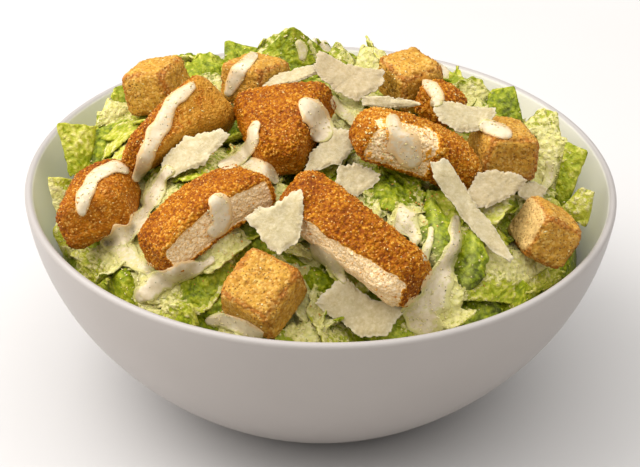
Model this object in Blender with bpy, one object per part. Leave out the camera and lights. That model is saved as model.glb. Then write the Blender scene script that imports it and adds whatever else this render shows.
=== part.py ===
# Caesar salad with breaded chicken, served in a plain round bowl.
# Units are metres, +Z is up, and the origin is the middle of the bowl's flat foot.
# The front of the bowl is -Y.  Every food piece is a solid of its own.
import bpy
import math
from mathutils import Vector, Euler

MM = 0.001
TAU = 2.0 * math.pi

for old in list(bpy.data.objects):
    bpy.data.objects.remove(old, do_unlink=True)

# ---------------------------------------------------------------- dimensions (mm)
BOWL_RADIUS = 100.0          # outer radius at the lip
BOWL_HEIGHT = 78.0
FOOT_RADIUS = 44.0           # flat resting face
FOOT_EDGE = 1.6              # small round where the foot meets the wall
BELLY = (94.5, 27.0)         # control point that sets how full the wall is
LIP_WALL = 2.9               # thickness at the lip
SIDE_WALL = 4.2              # thickness half way down
FLOOR_WALL = 6.0             # thickness of the floor
SEGMENTS = 64                # around the bowl and the heap
INNER_RINGS = 8

HEAP_GAP = 0.5               # clearance between the salad and the bowl's inside
HEAP_RISE = 45.0             # height of the crown above the heap's edge
HEAP_ROUND = 5.0             # exponent of the crown's shoulder
HEAP_EDGE_RING = 2           # ring of the bowl's inside at which the heap leaves the wall
HEAP_RINGS = 13
HEAP_RUFFLE = 2.2            # height of the leaf folds
TOPPING_REACH = 8.0          # the heap stays below a topping within this distance
TOPPING_GAP = 0.7
SHAVING_THICK = 1.2          # thickness of a cheese shaving
SHAVING_STEP = 5.0           # spacing of the points along a shaving's edge


def material(name, colour, roughness, coat=0.0):
    mat = bpy.data.materials.new(name)
    mat.use_nodes = True
    bsdf = mat.node_tree.nodes["Principled BSDF"]
    bsdf.inputs["Base Color"].default_value = (*colour, 1.0)
    bsdf.inputs["Roughness"].default_value = roughness
    bsdf.inputs["Metallic"].default_value = 0.0
    bsdf.inputs["Coat Weight"].default_value = coat
    mat.diffuse_color = (*colour, 1.0)
    return mat


MAT_BOWL = material("bowl_glaze", (0.86, 0.85, 0.84), 0.28, 0.3)
MAT_LETTUCE = material("lettuce", (0.36, 0.45, 0.10), 0.45)
MAT_CROUTON = material("crouton", (0.72, 0.43, 0.14), 0.85)
MAT_CHICKEN = material("chicken", (0.58, 0.26, 0.07), 0.75)
MAT_CHEESE = material("parmesan", (0.80, 0.71, 0.48), 0.55)


def add_object(name, verts, faces, mat, smooth_angle=None):
    mesh = bpy.data.meshes.new(name)
    mesh.from_pydata([Vector(v) * MM for v in verts], [], faces)
    mesh.materials.append(mat)
    mesh.validate()
    mesh.update()
    if smooth_angle is not None:
        mesh.shade_smooth()
        mesh.set_sharp_from_angle(angle=math.radians(smooth_angle))
    obj = bpy.data.objects.new(name, mesh)
    bpy.context.scene.collection.objects.link(obj)
    return obj


# ---------------------------------------------------------------- bowl
def cubic(p0, p1, p2, p3, t):
    a, b, c, d = (1 - t) ** 3, 3 * (1 - t) ** 2 * t, 3 * (1 - t) * t * t, t ** 3
    return (a * p0[0] + b * p1[0] + c * p2[0] + d * p3[0],
            a * p0[1] + b * p1[1] + c * p2[1] + d * p3[1])


def outer_point(t):
    """Outer wall from the foot's edge (t = 0) to the lip (t = 1): radius, height."""
    foot = (FOOT_RADIUS, 0.0)
    return cubic(foot, (FOOT_RADIUS + 0.5, 0.2), BELLY, (BOWL_RADIUS, BOWL_HEIGHT - 1.4), t)


def wall_at(t):
    """Wall thickness along the outer curve."""
    if t < 0.45:
        k = t / 0.45
        return FLOOR_WALL + (SIDE_WALL - FLOOR_WALL) * k
    k = (t - 0.45) / 0.55
    return SIDE_WALL + (LIP_WALL - SIDE_WALL) * k


def inner_point(t):
    e = 0.002
    r0, z0 = outer_point(max(0.0, t - e))
    r1, z1 = outer_point(min(1.0, t + e))
    length = math.hypot(r1 - r0, z1 - z0)
    nr, nz = (z1 - z0) / length, -(r1 - r0) / length
    r, z = outer_point(t)
    w = wall_at(t)
    return r - nr * w, z - nz * w


def inner_ring(i, steps):
    """Curve parameter of the i-th ring down the inside; rings are closer near the lip."""
    return 1.0 - 0.94 * (i / steps) ** 1.25


def bowl_profile(outer_steps, lip_steps, inner_steps):
    """Points (radius, height) from the foot's middle, up outside, over the lip, down inside."""
    pts = [(FOOT_RADIUS - FOOT_EDGE, 0.0)]
    for i in range(outer_steps + 1):
        t = 0.03 + 0.97 * i / outer_steps
        pts.append(outer_point(t))
    ro, zo = outer_point(1.0)
    ri, zi = inner_point(1.0)
    cr, cz, rad = (ro + ri) / 2, (zo + zi) / 2, math.hypot(ro - ri, zo - zi) / 2
    start = math.atan2(zo - cz, ro - cr)
    for i in range(1, lip_steps):
        a = start + math.pi * i / lip_steps
        pts.append((cr + rad * math.cos(a), cz + rad * math.sin(a)))
    for i in range(inner_steps + 1):
        pts.append(inner_point(inner_ring(i, inner_steps)))
    return pts


def revolve(name, profile, segments, mat, bottom_z, top_z, smooth_angle):
    """Turns a profile that starts near the axis outside and ends near it inside."""
    verts, faces = [(0.0, 0.0, bottom_z)], []
    for r, z in profile:
        for s in range(segments):
            a = TAU * s / segments
            verts.append((r * math.cos(a), r * math.sin(a), z))
    verts.append((0.0, 0.0, top_z))
    last = len(verts) - 1
    for s in range(segments):
        n = (s + 1) % segments
        faces.append((0, 1 + n, 1 + s))
        for k in range(len(profile) - 1):
            a, b = 1 + k * segments, 1 + (k + 1) * segments
            faces.append((a + s, a + n, b + n, b + s))
        e = 1 + (len(profile) - 1) * segments
        faces.append((last, e + s, e + n))
    return add_object(name, verts, faces, mat, smooth_angle)


profile = bowl_profile(9, 4, INNER_RINGS)
floor_z = profile[-1][1] - 0.3
revolve("bowl", profile, SEGMENTS, MAT_BOWL, 0.0, floor_z, 40)


# ---------------------------------------------------------------- croutons and chicken
def waviness(p, seed):
    """Smooth unevenness in -1..1 over a unit block, different for each seed."""
    x, y, z = p
    s = seed * 1.7
    return (0.45 * math.sin(2.3 * x + 1.1 * y + s) + 0.30 * math.sin(2.9 * y - 1.7 * z + 2.1 * s)
            + 0.25 * math.sin(3.1 * z + 2.2 * x + 0.6 * s))


def block_point(p, size, round_off, dome, bend, taper, lump, seed):
    """One point of a rounded, domed, bent and tapered block; p runs over a cube of -1..1."""
    half = [v / 2 for v in size]
    rad = round_off * min(half)
    q = [p[i] * half[i] for i in range(3)]
    core = [max(-(half[i] - rad), min(half[i] - rad, q[i])) for i in range(3)]
    d = [q[i] - core[i] for i in range(3)]
    length = math.sqrt(sum(v * v for v in d))
    if length > 1e-9:
        q = [core[i] + d[i] / length * rad * max(abs(v) for v in [d[0] / rad, d[1] / rad, d[2] / rad])
             for i in range(3)]
    u = q[0] / half[0]
    v = q[1] / half[1]
    w = q[2] / half[2]
    grow = 1.0 + lump * waviness((u, v, w), seed)
    x, y, z = q[0] * grow, q[1] * grow, q[2] * grow
    if z > 0:
        z *= 1.0 - dome * u * u
    z -= bend * u * u * half[0]
    x *= 1.0 + taper[0] * w
    y *= 1.0 + taper[1] * u
    return x, y, z


def block_mesh(size, steps, **shape):
    """Closed grid over the six faces of a block."""
    nx, ny, nz = steps
    index, verts, faces = {}, [], []

    def spread(i, n):
        # rows gather toward the edges, so the rounding gets them
        t = -1.0 + 2.0 * i / n
        return math.copysign(abs(t) ** 0.72, t) if n > 2 else t

    def vertex(i, j, k):
        key = (i, j, k)
        if key not in index:
            index[key] = len(verts)
            verts.append(block_point((spread(i, nx), spread(j, ny), spread(k, nz)), size, **shape))
        return index[key]

    for i in range(nx):
        for j in range(ny):
            faces.append((vertex(i, j, 0), vertex(i, j + 1, 0), vertex(i + 1, j + 1, 0), vertex(i + 1, j, 0)))
            faces.append((vertex(i, j, nz), vertex(i + 1, j, nz), vertex(i + 1, j + 1, nz), vertex(i, j + 1, nz)))
    for i in range(nx):
        for k in range(nz):
            faces.append((vertex(i, 0, k), vertex(i + 1, 0, k), vertex(i + 1, 0, k + 1), vertex(i, 0, k + 1)))
            faces.append((vertex(i, ny, k), vertex(i, ny, k + 1), vertex(i + 1, ny, k + 1), vertex(i + 1, ny, k)))
    for j in range(ny):
        for k in range(nz):
            faces.append((vertex(0, j, k), vertex(0, j, k + 1), vertex(0, j + 1, k + 1), vertex(0, j + 1, k)))
            faces.append((vertex(nx, j, k), vertex(nx, j + 1, k), vertex(nx, j + 1, k + 1), vertex(nx, j, k + 1)))
    return verts, faces


def placed(point, at, turn):
    v = Euler([math.radians(a) for a in turn], 'XYZ').to_matrix() @ Vector(point)
    return (v.x + at[0], v.y + at[1], v.z + at[2])


# size, middle and turn (degrees about X, then Y, then Z) of each piece
CROUTONS = {
    "crouton_back_left": dict(size=(18.5, 19.5, 16), at=(-57.2, 23.5, 99.7), turn=(-6, -18, -18), taper=(-0.05, 0.04), seed=1),
    "crouton_back_middle": dict(size=(17.5, 19.5, 15), at=(-23.2, 20, 104.3), turn=(-12, -3, -31), taper=(-0.04, 0.0), seed=2),
    "crouton_back_right": dict(size=(19, 16.5, 16), at=(29.6, 19, 106.3), turn=(6, 4, -58), taper=(-0.06, 0.05), seed=3),
    "crouton_right": dict(size=(19, 20.5, 15), at=(59.6, -14, 99), turn=(-5, 12, 14), taper=(-0.08, 0.0), seed=4),
    "crouton_front_right": dict(size=(20, 16, 16.5), at=(72.3, -40.6, 83.2), turn=(-33, -5, -74), taper=(-0.04, 0.03), seed=5),
    "crouton_front_left": dict(size=(20, 20.5, 17), at=(-17.3, -78, 82.5), turn=(28, 11, -31), taper=(-0.05, 0.03), seed=6),
}
CHICKEN = {
    "chicken_back_left": dict(size=(40.5, 16, 17), at=(-47.2, -12.1, 104.0), turn=(33, -8, 49), dome=0.15, bend=0.16, taper=(0.0, 0.36), seed=7),
    "chicken_back_middle": dict(size=(33, 24.5, 17), at=(-13.2, -18, 107.2), turn=(-9, -12, 90), dome=0.15, bend=0.08, taper=(0.0, 0.45), seed=8),
    "chicken_back_small": dict(size=(14.5, 14, 12), at=(39.2, 1.5, 106.8), turn=(-18, 13, -32), dome=0.2, bend=-0.05, taper=(0.0, 0.02), seed=9),
    "chicken_back_right": dict(size=(41.5, 20.3, 15.5), at=(31, -28.4, 106.8), turn=(-6, 26, 8), dome=0.25, bend=0.08, taper=(0.0, 0.0), seed=10),
    "chicken_left": dict(size=(23, 28.5, 17.5), at=(-71.8, -32.6, 86.6), turn=(-5, -28, -5), dome=0.15, bend=0.07, taper=(0.0, -0.12), seed=11),
    "chicken_front_left": dict(size=(43, 20, 15), at=(-36.7, -55.6, 97.2), turn=(-13, -21, 36), dome=0.25, bend=0.13, taper=(0.0, 0.08), seed=12),
    "chicken_front_right": dict(size=(51, 19, 18.3), at=(9.8, -67.5, 96.7), turn=(36, 17, -38), dome=0.12, bend=0.14, taper=(0.0, 0.0), seed=13),
}


def steps_for(size, cell):
    return tuple(max(3, int(round(v / cell))) for v in size)


topping_points = []
for name, c in CROUTONS.items():
    verts, faces = block_mesh(c["size"], (4, 4, 4), round_off=0.42, dome=0.05, bend=0.0,
                              taper=c["taper"], lump=0.035, seed=c["seed"])
    verts = [placed(v, c["at"], c["turn"]) for v in verts]
    topping_points.extend(verts)
    add_object(name, verts, faces, MAT_CROUTON, 50)
for name, c in CHICKEN.items():
    verts, faces = block_mesh(c["size"], steps_for(c["size"], 5.2), round_off=0.62, dome=c["dome"], bend=c["bend"],
                              taper=c["taper"], lump=0.05, seed=c["seed"])
    verts = [placed(v, c["at"], c["turn"]) for v in verts]
    topping_points.extend(verts)
    add_object(name, verts, faces, MAT_CHICKEN, 50)


# ---------------------------------------------------------------- cheese shavings
# middle, turn, curl (rise of the ends) and the corners of the flat shaving
SHAVINGS = {
    "shaving_left": dict(at=(-41.7, -29.3, 102.3), turn=(39, -11, -9), curl=-1.2,
                         corners=[(-3, 6.5), (9, 8.5), (12.5, 7), (7.5, 0.5), (4.5, -3.5), (-2, -5.5), (-8.5, -8), (-10.5, -5), (-9.5, 0)]),
    "shaving_back_narrow": dict(at=(-10.5, 13.4, 109.2), turn=(19, 0, 0), curl=0.8,
                                corners=[(-10, -5), (-5, 1.5), (2, 5), (8.5, 5.5), (10, 2.5), (4.5, -0.5), (-2.5, -3.5), (-8, -6)]),
    "shaving_back": dict(at=(8.9, 11.3, 110.3), turn=(28, 0, 0), curl=1.5,
                         corners=[(-10, 10.5), (1, 5), (11.5, 3.5), (11.5, -1.5), (9, -4.5), (2, -9), (-3, -6), (-9, -1), (-12.5, 3)]),
    "shaving_centre": dict(at=(3.3, -28.1, 103.8), turn=(31, 5, 3), curl=-1.0,
                           corners=[(-0.5, 9), (10, 8.5), (9.5, 6), (6, -0.5), (3.5, -3.5), (-2, -6), (-6.5, -7.5), (-8.5, -7), (-7, -1.5), (-4.5, 3)]),
    "shaving_centre_right": dict(at=(11.3, -40.9, 101.7), turn=(39, 6, 5), curl=1.0,
                                 corners=[(-5.5, 4), (-1.5, 5), (3.5, 4), (7.5, 1.5), (6, -1.5), (0.5, -6), (-3.5, -5), (-7, -2.5)]),
    "shaving_front_left": dict(at=(-12.2, -67.5, 101.5), turn=(51, -9, -11), curl=1.5,
                               corners=[(-11, 1.5), (-7, 4.5), (-2.5, 5), (3, 9), (6.5, 10.5), (7.5, 5), (7, -0.5), (6.5, -5), (1.5, -9), (0, -10), (-3.5, -8), (-7.5, -3)]),
    "shaving_front": dict(at=(12.4, -77.6, 77.0), turn=(54, 3, 4), curl=1.5,
                          corners=[(-4.5, 10), (-8, 7.5), (-11.5, 4), (-13.5, 1.5), (-10, -2), (-5, -4.5), (1, -9), (5.5, -8.5), (9.5, -7.5), (11.5, -3.5), (14, 0), (9, 2.5), (4, 3), (-1, 6.5)]),
    "shaving_back_right": dict(at=(46.5, -12.6, 110.5), turn=(30, 10, 6), curl=1.2,
                               corners=[(-11, 4), (-5, 4.5), (0, 4), (5.5, 3.5), (10, 3.5), (10.5, 1.5), (8, -3), (4.5, -6), (-3.5, -6.5), (-8.5, -4.5), (-10.5, -1)]),
    "shaving_right": dict(at=(56, -38, 97.9), turn=(36, 12, 9), curl=-1.2,
                          corners=[(-6, 4.5), (-1.5, 6), (4, 6), (8, 5), (10.5, 4), (7.5, 0), (3, -3.5), (-4, -8), (-9, -8.5), (-11.5, -5)]),
    "shaving_long": dict(at=(47.3, -48.7, 95.6), turn=(44, 10, 9), curl=2.0,
                         corners=[(-13.5, 14), (-8, 16.5), (-5, 12), (-0.5, 6), (4.5, -0.5), (9.5, -7.5), (13.5, -14.5), (12.5, -16), (7.5, -13), (2.5, -8.5), (-3, -2), (-8.5, 4.5), (-12.5, 9)]),
    "shaving_far_right": dict(at=(68.8, -23.9, 88.3), turn=(45, 22, 21), curl=0.6,
                              corners=[(-5, 1.5), (1, 4), (6, 2), (4, -1.5), (-1.5, -3.5), (-5, -2.5)]),
}


def shaving_outline(corners, step):
    """The corners joined by broken edges: points every step, each a little in or out."""
    pts = []
    n = len(corners)
    for i in range(n):
        a, b = corners[i], corners[(i + 1) % n]
        length = math.hypot(b[0] - a[0], b[1] - a[1])
        cuts = max(1, int(round(length / step)))
        for k in range(cuts):
            f = k / cuts
            x, y = a[0] + (b[0] - a[0]) * f, a[1] + (b[1] - a[1]) * f
            chip = 0.0 if k == 0 else 0.35 * math.sin(12.9 * x + 7.3 * y)
            r = math.hypot(x, y) or 1.0
            pts.append((x * (1 + chip / r), y * (1 + chip / r)))
    return pts if sum(pts[i - 1][0] * pts[i][1] - pts[i][0] * pts[i - 1][1] for i in range(len(pts))) > 0 else pts[::-1]


def shaving_mesh(corners, curl, thick, step):
    """A thin curled plate with a broken edge, closed all round."""
    rim = shaving_outline(corners, step)
    n = len(rim)
    reach = max(abs(x) for x, _ in rim)

    def lift(x, y):
        return curl * ((x / reach) ** 2 - 0.3)

    verts, faces = [], []
    for side in (1, -1):
        for share in (1.0, 0.52):
            for x, y in rim:
                verts.append((x * share, y * share, lift(x * share, y * share) + side * thick / 2))
        verts.append((0.0, 0.0, lift(0, 0) + side * thick / 2))
    low = 2 * n + 1
    for i in range(n):
        j = (i + 1) % n
        faces.append((i, j, n + j, n + i))
        faces.append((n + i, n + j, 2 * n))
        faces.append((low + j, low + i, low + n + i, low + n + j))
        faces.append((low + n + j, low + n + i, low + 2 * n))
        faces.append((j, i, low + i, low + j))
    return verts, faces


for name, c in SHAVINGS.items():
    verts, faces = shaving_mesh(c["corners"], c["curl"], SHAVING_THICK, SHAVING_STEP)
    verts = [placed(v, c["at"], c["turn"]) for v in verts]
    topping_points.extend(verts)
    add_object(name, verts, faces, MAT_CHEESE, 50)


# ---------------------------------------------------------------- heap of dressed lettuce
# leaf tips that stand out of the heap: x, y, height of the tip, steepness of its flanks
LEAF_TIPS = [
    (-10.5, 45.0, 113.5, 1.7), (-32.5, 50.0, 104.5, 1.5), (5.0, 52.0, 103.5, 1.2), (18.0, 52.0, 102.5, 1.2),
    (-41.5, 42.0, 100.0, 1.2), (63.0, 26.0, 97.5, 1.3), (71.0, 6.0, 92.0, 1.7), (75.0, -18.0, 85.5, 1.7),
    (-74.0, 14.0, 92.5, 1.7), (-66.0, 24.0, 93.0, 1.4), (-78.0, -18.0, 83.5, 1.7), (-62.0, -57.0, 83.0, 1.4),
    (-40.0, -74.0, 80.0, 1.4), (42.0, -74.0, 81.0, 1.4), (64.0, -57.0, 81.5, 1.4),
    (40.0, 62.0, 95.0, 1.4), (-5.0, 70.0, 92.0, 1.4), (-52.0, 56.0, 93.0, 1.4),
]


def crown(x, y, edge_r, edge_z):
    r = math.hypot(x, y)
    h = edge_z + HEAP_RISE * (1.0 - (r / edge_r) ** HEAP_ROUND)
    fade = min(1.0, (edge_r - r) / 22.0) ** 2
    h += HEAP_RUFFLE * fade * (math.sin(0.21 * x + 0.13 * y) * math.cos(0.17 * y - 0.09 * x)
                               + 0.6 * math.sin(0.37 * x - 0.29 * y + 1.3))
    for tx, ty, tz, steep in LEAF_TIPS:
        h = max(h, tz - steep * math.hypot(x - tx, y - ty))
    return h


def below_toppings(x, y, h):
    for px, py, pz in topping_points:
        if math.hypot(px - x, py - y) < TOPPING_REACH:
            h = min(h, pz - TOPPING_GAP)
    return h


def offset_inside(t):
    e = 0.002
    r0, z0 = inner_point(max(0.05, t - e))
    r1, z1 = inner_point(min(1.0, t + e))
    length = math.hypot(r1 - r0, z1 - z0)
    r, z = inner_point(t)
    return r - (z1 - z0) / length * HEAP_GAP, z + (r1 - r0) / length * HEAP_GAP


under = [offset_inside(inner_ring(i, INNER_RINGS)) for i in range(HEAP_EDGE_RING, INNER_RINGS + 1)]
edge_r, edge_z = under[0]
verts, faces = [(0.0, 0.0, below_toppings(0.0, 0.0, crown(0.0, 0.0, edge_r, edge_z)))], []
for k in range(1, HEAP_RINGS + 1):
    r = edge_r * k / HEAP_RINGS
    for s in range(SEGMENTS):
        a = TAU * s / SEGMENTS
        x, y = r * math.cos(a), r * math.sin(a)
        h = edge_z if k == HEAP_RINGS else max(edge_z, below_toppings(x, y, crown(x, y, edge_r, edge_z)))
        verts.append((x, y, h))
for r, z in under[1:]:
    for s in range(SEGMENTS):
        a = TAU * s / SEGMENTS
        verts.append((r * math.cos(a), r * math.sin(a), z))
verts.append((0.0, 0.0, floor_z + HEAP_GAP))
rings = HEAP_RINGS + len(under) - 1
for s in range(SEGMENTS):
    n = (s + 1) % SEGMENTS
    faces.append((0, 1 + s, 1 + n))
    for k in range(rings - 1):
        a, b = 1 + k * SEGMENTS, 1 + (k + 1) * SEGMENTS
        faces.append((a + s, b + s, b + n, a + n))
    e = 1 + (rings - 1) * SEGMENTS
    faces.append((len(verts) - 1, e + n, e + s))
add_object("lettuce", verts, faces, MAT_LETTUCE, 30)
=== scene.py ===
# Caesar salad with breaded chicken in a white bowl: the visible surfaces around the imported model.
# Lengths in this script are millimetres until a mesh is made; the model's frame is metres, +Z up.
# The front of the bowl is -Y.
import math

import bpy
import numpy as np
from mathutils import Euler, Matrix, Vector
from mathutils.bvhtree import BVHTree


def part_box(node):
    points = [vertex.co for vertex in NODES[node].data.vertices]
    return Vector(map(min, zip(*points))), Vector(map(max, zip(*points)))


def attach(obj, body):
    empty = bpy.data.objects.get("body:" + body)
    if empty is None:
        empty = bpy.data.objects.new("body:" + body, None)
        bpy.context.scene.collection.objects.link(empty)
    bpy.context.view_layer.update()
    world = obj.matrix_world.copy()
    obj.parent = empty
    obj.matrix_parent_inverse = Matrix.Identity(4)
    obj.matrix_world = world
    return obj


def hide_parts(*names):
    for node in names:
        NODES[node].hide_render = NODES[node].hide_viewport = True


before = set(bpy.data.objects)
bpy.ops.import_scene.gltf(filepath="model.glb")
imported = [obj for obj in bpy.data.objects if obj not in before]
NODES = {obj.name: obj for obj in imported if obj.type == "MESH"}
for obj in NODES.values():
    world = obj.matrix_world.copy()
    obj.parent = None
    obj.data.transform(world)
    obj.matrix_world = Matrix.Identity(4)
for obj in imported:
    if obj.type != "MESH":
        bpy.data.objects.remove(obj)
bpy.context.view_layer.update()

MM = 0.001
TAU = 2.0 * math.pi
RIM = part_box("bowl")[1].z / MM                       # height of the lip
BOWL_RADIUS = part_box("bowl")[1].x / MM


# ================================================================ noise
def hash01(ix, iy, iz, seed):
    h = (ix * 374761393 + iy * 668265263 + iz * 1440662683 + seed * 974634777 + 12345) & 0xFFFFFFFF
    h = ((h ^ (h >> 15)) * 1274126177) & 0xFFFFFFFF
    h = ((h ^ (h >> 13)) * 1103515245) & 0xFFFFFFFF
    h = h ^ (h >> 16)
    return h / 4294967296.0


def vnoise(p, seed=0):
    """Smooth value noise in -1..1 over points whose unit is one cell."""
    i = np.floor(p).astype(np.int64)
    f = p - i
    f = f * f * (3.0 - 2.0 * f)
    out = np.zeros(len(p))
    for a in (0, 1):
        wx = f[:, 0] if a else 1.0 - f[:, 0]
        for b in (0, 1):
            wy = f[:, 1] if b else 1.0 - f[:, 1]
            for c in (0, 1):
                wz = f[:, 2] if c else 1.0 - f[:, 2]
                out += wx * wy * wz * hash01(i[:, 0] + a, i[:, 1] + b, i[:, 2] + c, seed)
    return out * 2.0 - 1.0


def fbm(p, octaves, seed=0, gain=0.5):
    out, amp, total = np.zeros(len(p)), 1.0, 0.0
    for k in range(octaves):
        out += amp * vnoise(p * (2.0 ** k) + 17.3 * k, seed + 31 * k)
        total += amp
        amp *= gain
    return out / total


def cells(p, seed=0):
    """Distance to the nearest scattered point, and that point's number in 0..1."""
    i = np.floor(p).astype(np.int64)
    best = np.full(len(p), 9.0)
    number = np.zeros(len(p))
    for a in (-1, 0, 1):
        for b in (-1, 0, 1):
            for c in (-1, 0, 1):
                x, y, z = i[:, 0] + a, i[:, 1] + b, i[:, 2] + c
                qx = x + hash01(x, y, z, seed + 1)
                qy = y + hash01(x, y, z, seed + 2)
                qz = z + hash01(x, y, z, seed + 3)
                d = np.sqrt((p[:, 0] - qx) ** 2 + (p[:, 1] - qy) ** 2 + (p[:, 2] - qz) ** 2)
                near = d < best
                best = np.where(near, d, best)
                number = np.where(near, hash01(x, y, z, seed + 4), number)
    return best, number


def smooth(a, b, x):
    t = np.clip((x - a) / (b - a), 0.0, 1.0)
    return t * t * (3.0 - 2.0 * t)


# ================================================================ meshes
def build(name, co, quads=None, tris=None, attrs=None, material=None, flat=False):
    mesh = bpy.data.meshes.new(name)
    co = np.ascontiguousarray(np.asarray(co, float) * MM, np.float32)
    loops, starts, at = [], [], 0
    for faces, k in ((quads, 4), (tris, 3)):
        if faces is not None and len(faces):
            faces = np.asarray(faces, np.int32)
            loops.append(faces.ravel())
            starts.append(at + k * np.arange(len(faces), dtype=np.int32))
            at += k * len(faces)
    loops, starts = np.concatenate(loops), np.concatenate(starts)
    mesh.vertices.add(len(co))
    mesh.vertices.foreach_set("co", co.ravel())
    mesh.loops.add(len(loops))
    mesh.loops.foreach_set("vertex_index", loops)
    mesh.polygons.add(len(starts))
    mesh.polygons.foreach_set("loop_start", starts)
    mesh.update(calc_edges=True)
    mesh.validate()
    if not flat:
        mesh.shade_smooth()
    for key, values in (attrs or {}).items():
        values = np.asarray(values, np.float32)
        if values.ndim == 2:
            mesh.attributes.new(key, "FLOAT_VECTOR", "POINT").data.foreach_set("vector", values.ravel())
        else:
            mesh.attributes.new(key, "FLOAT", "POINT").data.foreach_set("value", values)
    if material:
        mesh.materials.append(material)
    obj = bpy.data.objects.new(name, mesh)
    bpy.context.scene.collection.objects.link(obj)
    return obj


def normals_of(co, quads):
    d1 = co[quads[:, 2]] - co[quads[:, 0]]
    d2 = co[quads[:, 3]] - co[quads[:, 1]]
    n = np.cross(d1, d2)
    out = np.zeros_like(co)
    for k in range(4):
        for axis in range(3):
            out[:, axis] += np.bincount(quads[:, k], n[:, axis], minlength=len(co))
    return out / (np.linalg.norm(out, axis=1)[:, None] + 1e-12)


class Bag:
    """Collects many small meshes into one."""

    def __init__(self):
        self.co, self.quads, self.tris, self.attrs, self.n = [], [], [], {}, 0

    def add(self, co, quads=None, tris=None, **attrs):
        self.co.append(co)
        if quads is not None and len(quads):
            self.quads.append(np.asarray(quads) + self.n)
        if tris is not None and len(tris):
            self.tris.append(np.asarray(tris) + self.n)
        for key, v in attrs.items():
            v = np.asarray(v, float)
            if v.ndim == 0:
                v = np.full(len(co), float(v))
            self.attrs.setdefault(key, []).append(v)
        self.n += len(co)

    def faces(self):
        return sum(2 * len(q) for q in self.quads) + sum(len(t) for t in self.tris)

    def build(self, name, material):
        return build(name, np.concatenate(self.co),
                     np.concatenate(self.quads) if self.quads else None,
                     np.concatenate(self.tris) if self.tris else None,
                     {k: np.concatenate(v) for k, v in self.attrs.items()}, material)


# ================================================================ materials
def lin(r, g, b):
    def one(v):
        v = v / 255.0
        return v / 12.92 if v <= 0.04045 else ((v + 0.055) / 1.055) ** 2.4
    return (one(r), one(g), one(b), 1.0)


class Look:
    """A material with short names for the nodes that it uses."""

    def __init__(self, name, colour, roughness):
        self.mat = bpy.data.materials.new(name)
        self.mat.use_nodes = True
        self.nt = self.mat.node_tree
        self.bsdf = self.nt.nodes["Principled BSDF"]
        self.bsdf.inputs["Base Color"].default_value = colour
        self.bsdf.inputs["Roughness"].default_value = roughness
        self.mat.diffuse_color = colour
        self.coord = self.nt.nodes.new("ShaderNodeTexCoord").outputs["Object"]

    def put(self, socket, value):
        if isinstance(value, bpy.types.NodeSocket):
            self.nt.links.new(value, socket)
        elif value is not None:
            socket.default_value = value

    def attr(self, name):
        n = self.nt.nodes.new("ShaderNodeAttribute")
        n.attribute_name = name
        return n.outputs["Fac"]

    def noise(self, size, detail=3.0, rough=0.5, vector=None, distortion=0.0):
        n = self.nt.nodes.new("ShaderNodeTexNoise")
        self.put(n.inputs["Vector"], vector or self.coord)
        n.inputs["Scale"].default_value = 1000.0 / size
        n.inputs["Detail"].default_value = detail
        n.inputs["Roughness"].default_value = rough
        n.inputs["Distortion"].default_value = distortion
        return n.outputs["Fac"]

    def cell(self, size, feature="F1", vector=None, randomness=1.0):
        n = self.nt.nodes.new("ShaderNodeTexVoronoi")
        n.feature = feature
        self.put(n.inputs["Vector"], vector or self.coord)
        n.inputs["Scale"].default_value = 1000.0 / size
        n.inputs["Randomness"].default_value = randomness
        return n

    def stretch(self, scale, rotation=(0, 0, 0)):
        n = self.nt.nodes.new("ShaderNodeMapping")
        self.put(n.inputs["Vector"], self.coord)
        n.inputs["Scale"].default_value = scale
        n.inputs["Rotation"].default_value = rotation
        return n.outputs["Vector"]

    def ramp(self, fac, stops, mode="LINEAR"):
        n = self.nt.nodes.new("ShaderNodeValToRGB")
        n.color_ramp.interpolation = mode
        els = n.color_ramp.elements
        while len(els) < len(stops):
            els.new(0.5)
        for e, (pos, col) in zip(els, stops):
            e.position = pos
            e.color = col if not isinstance(col, (int, float)) else (col, col, col, 1.0)
        self.put(n.inputs["Fac"], fac)
        return n.outputs["Color"]

    def mix(self, fac, a, b, kind="MIX"):
        n = self.nt.nodes.new("ShaderNodeMix")
        n.data_type = "RGBA"
        n.blend_type = kind
        self.put(n.inputs["Factor"], fac)
        self.put(n.inputs["A"] if False else n.inputs[6], a)
        self.put(n.inputs[7], b)
        return n.outputs[2]

    def math(self, op, a, b=None, clamp=False):
        n = self.nt.nodes.new("ShaderNodeMath")
        n.operation = op
        n.use_clamp = clamp
        self.put(n.inputs[0], a)
        if b is not None:
            self.put(n.inputs[1], b)
        return n.outputs[0]

    def step(self, value, lo, hi, to_lo=0.0, to_hi=1.0):
        n = self.nt.nodes.new("ShaderNodeMapRange")
        n.interpolation_type = "SMOOTHSTEP"
        self.put(n.inputs["Value"], value)
        n.inputs["From Min"].default_value = lo
        n.inputs["From Max"].default_value = hi
        n.inputs["To Min"].default_value = to_lo
        n.inputs["To Max"].default_value = to_hi
        return n.outputs["Result"]

    def bump(self, height, mm, strength=1.0, normal=None):
        n = self.nt.nodes.new("ShaderNodeBump")
        n.inputs["Strength"].default_value = strength
        n.inputs["Distance"].default_value = mm * MM
        self.put(n.inputs["Height"], height)
        if normal is not None:
            self.put(n.inputs["Normal"], normal)
        return n.outputs["Normal"]

    def finish(self, colour=None, roughness=None, normal=None, **constants):
        self.put(self.bsdf.inputs["Base Color"], colour)
        self.put(self.bsdf.inputs["Roughness"], roughness)
        if normal is not None:
            self.put(self.bsdf.inputs["Normal"], normal)
        for key, value in constants.items():
            self.bsdf.inputs[key.replace("_", " ")].default_value = value
        return self.mat


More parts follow.
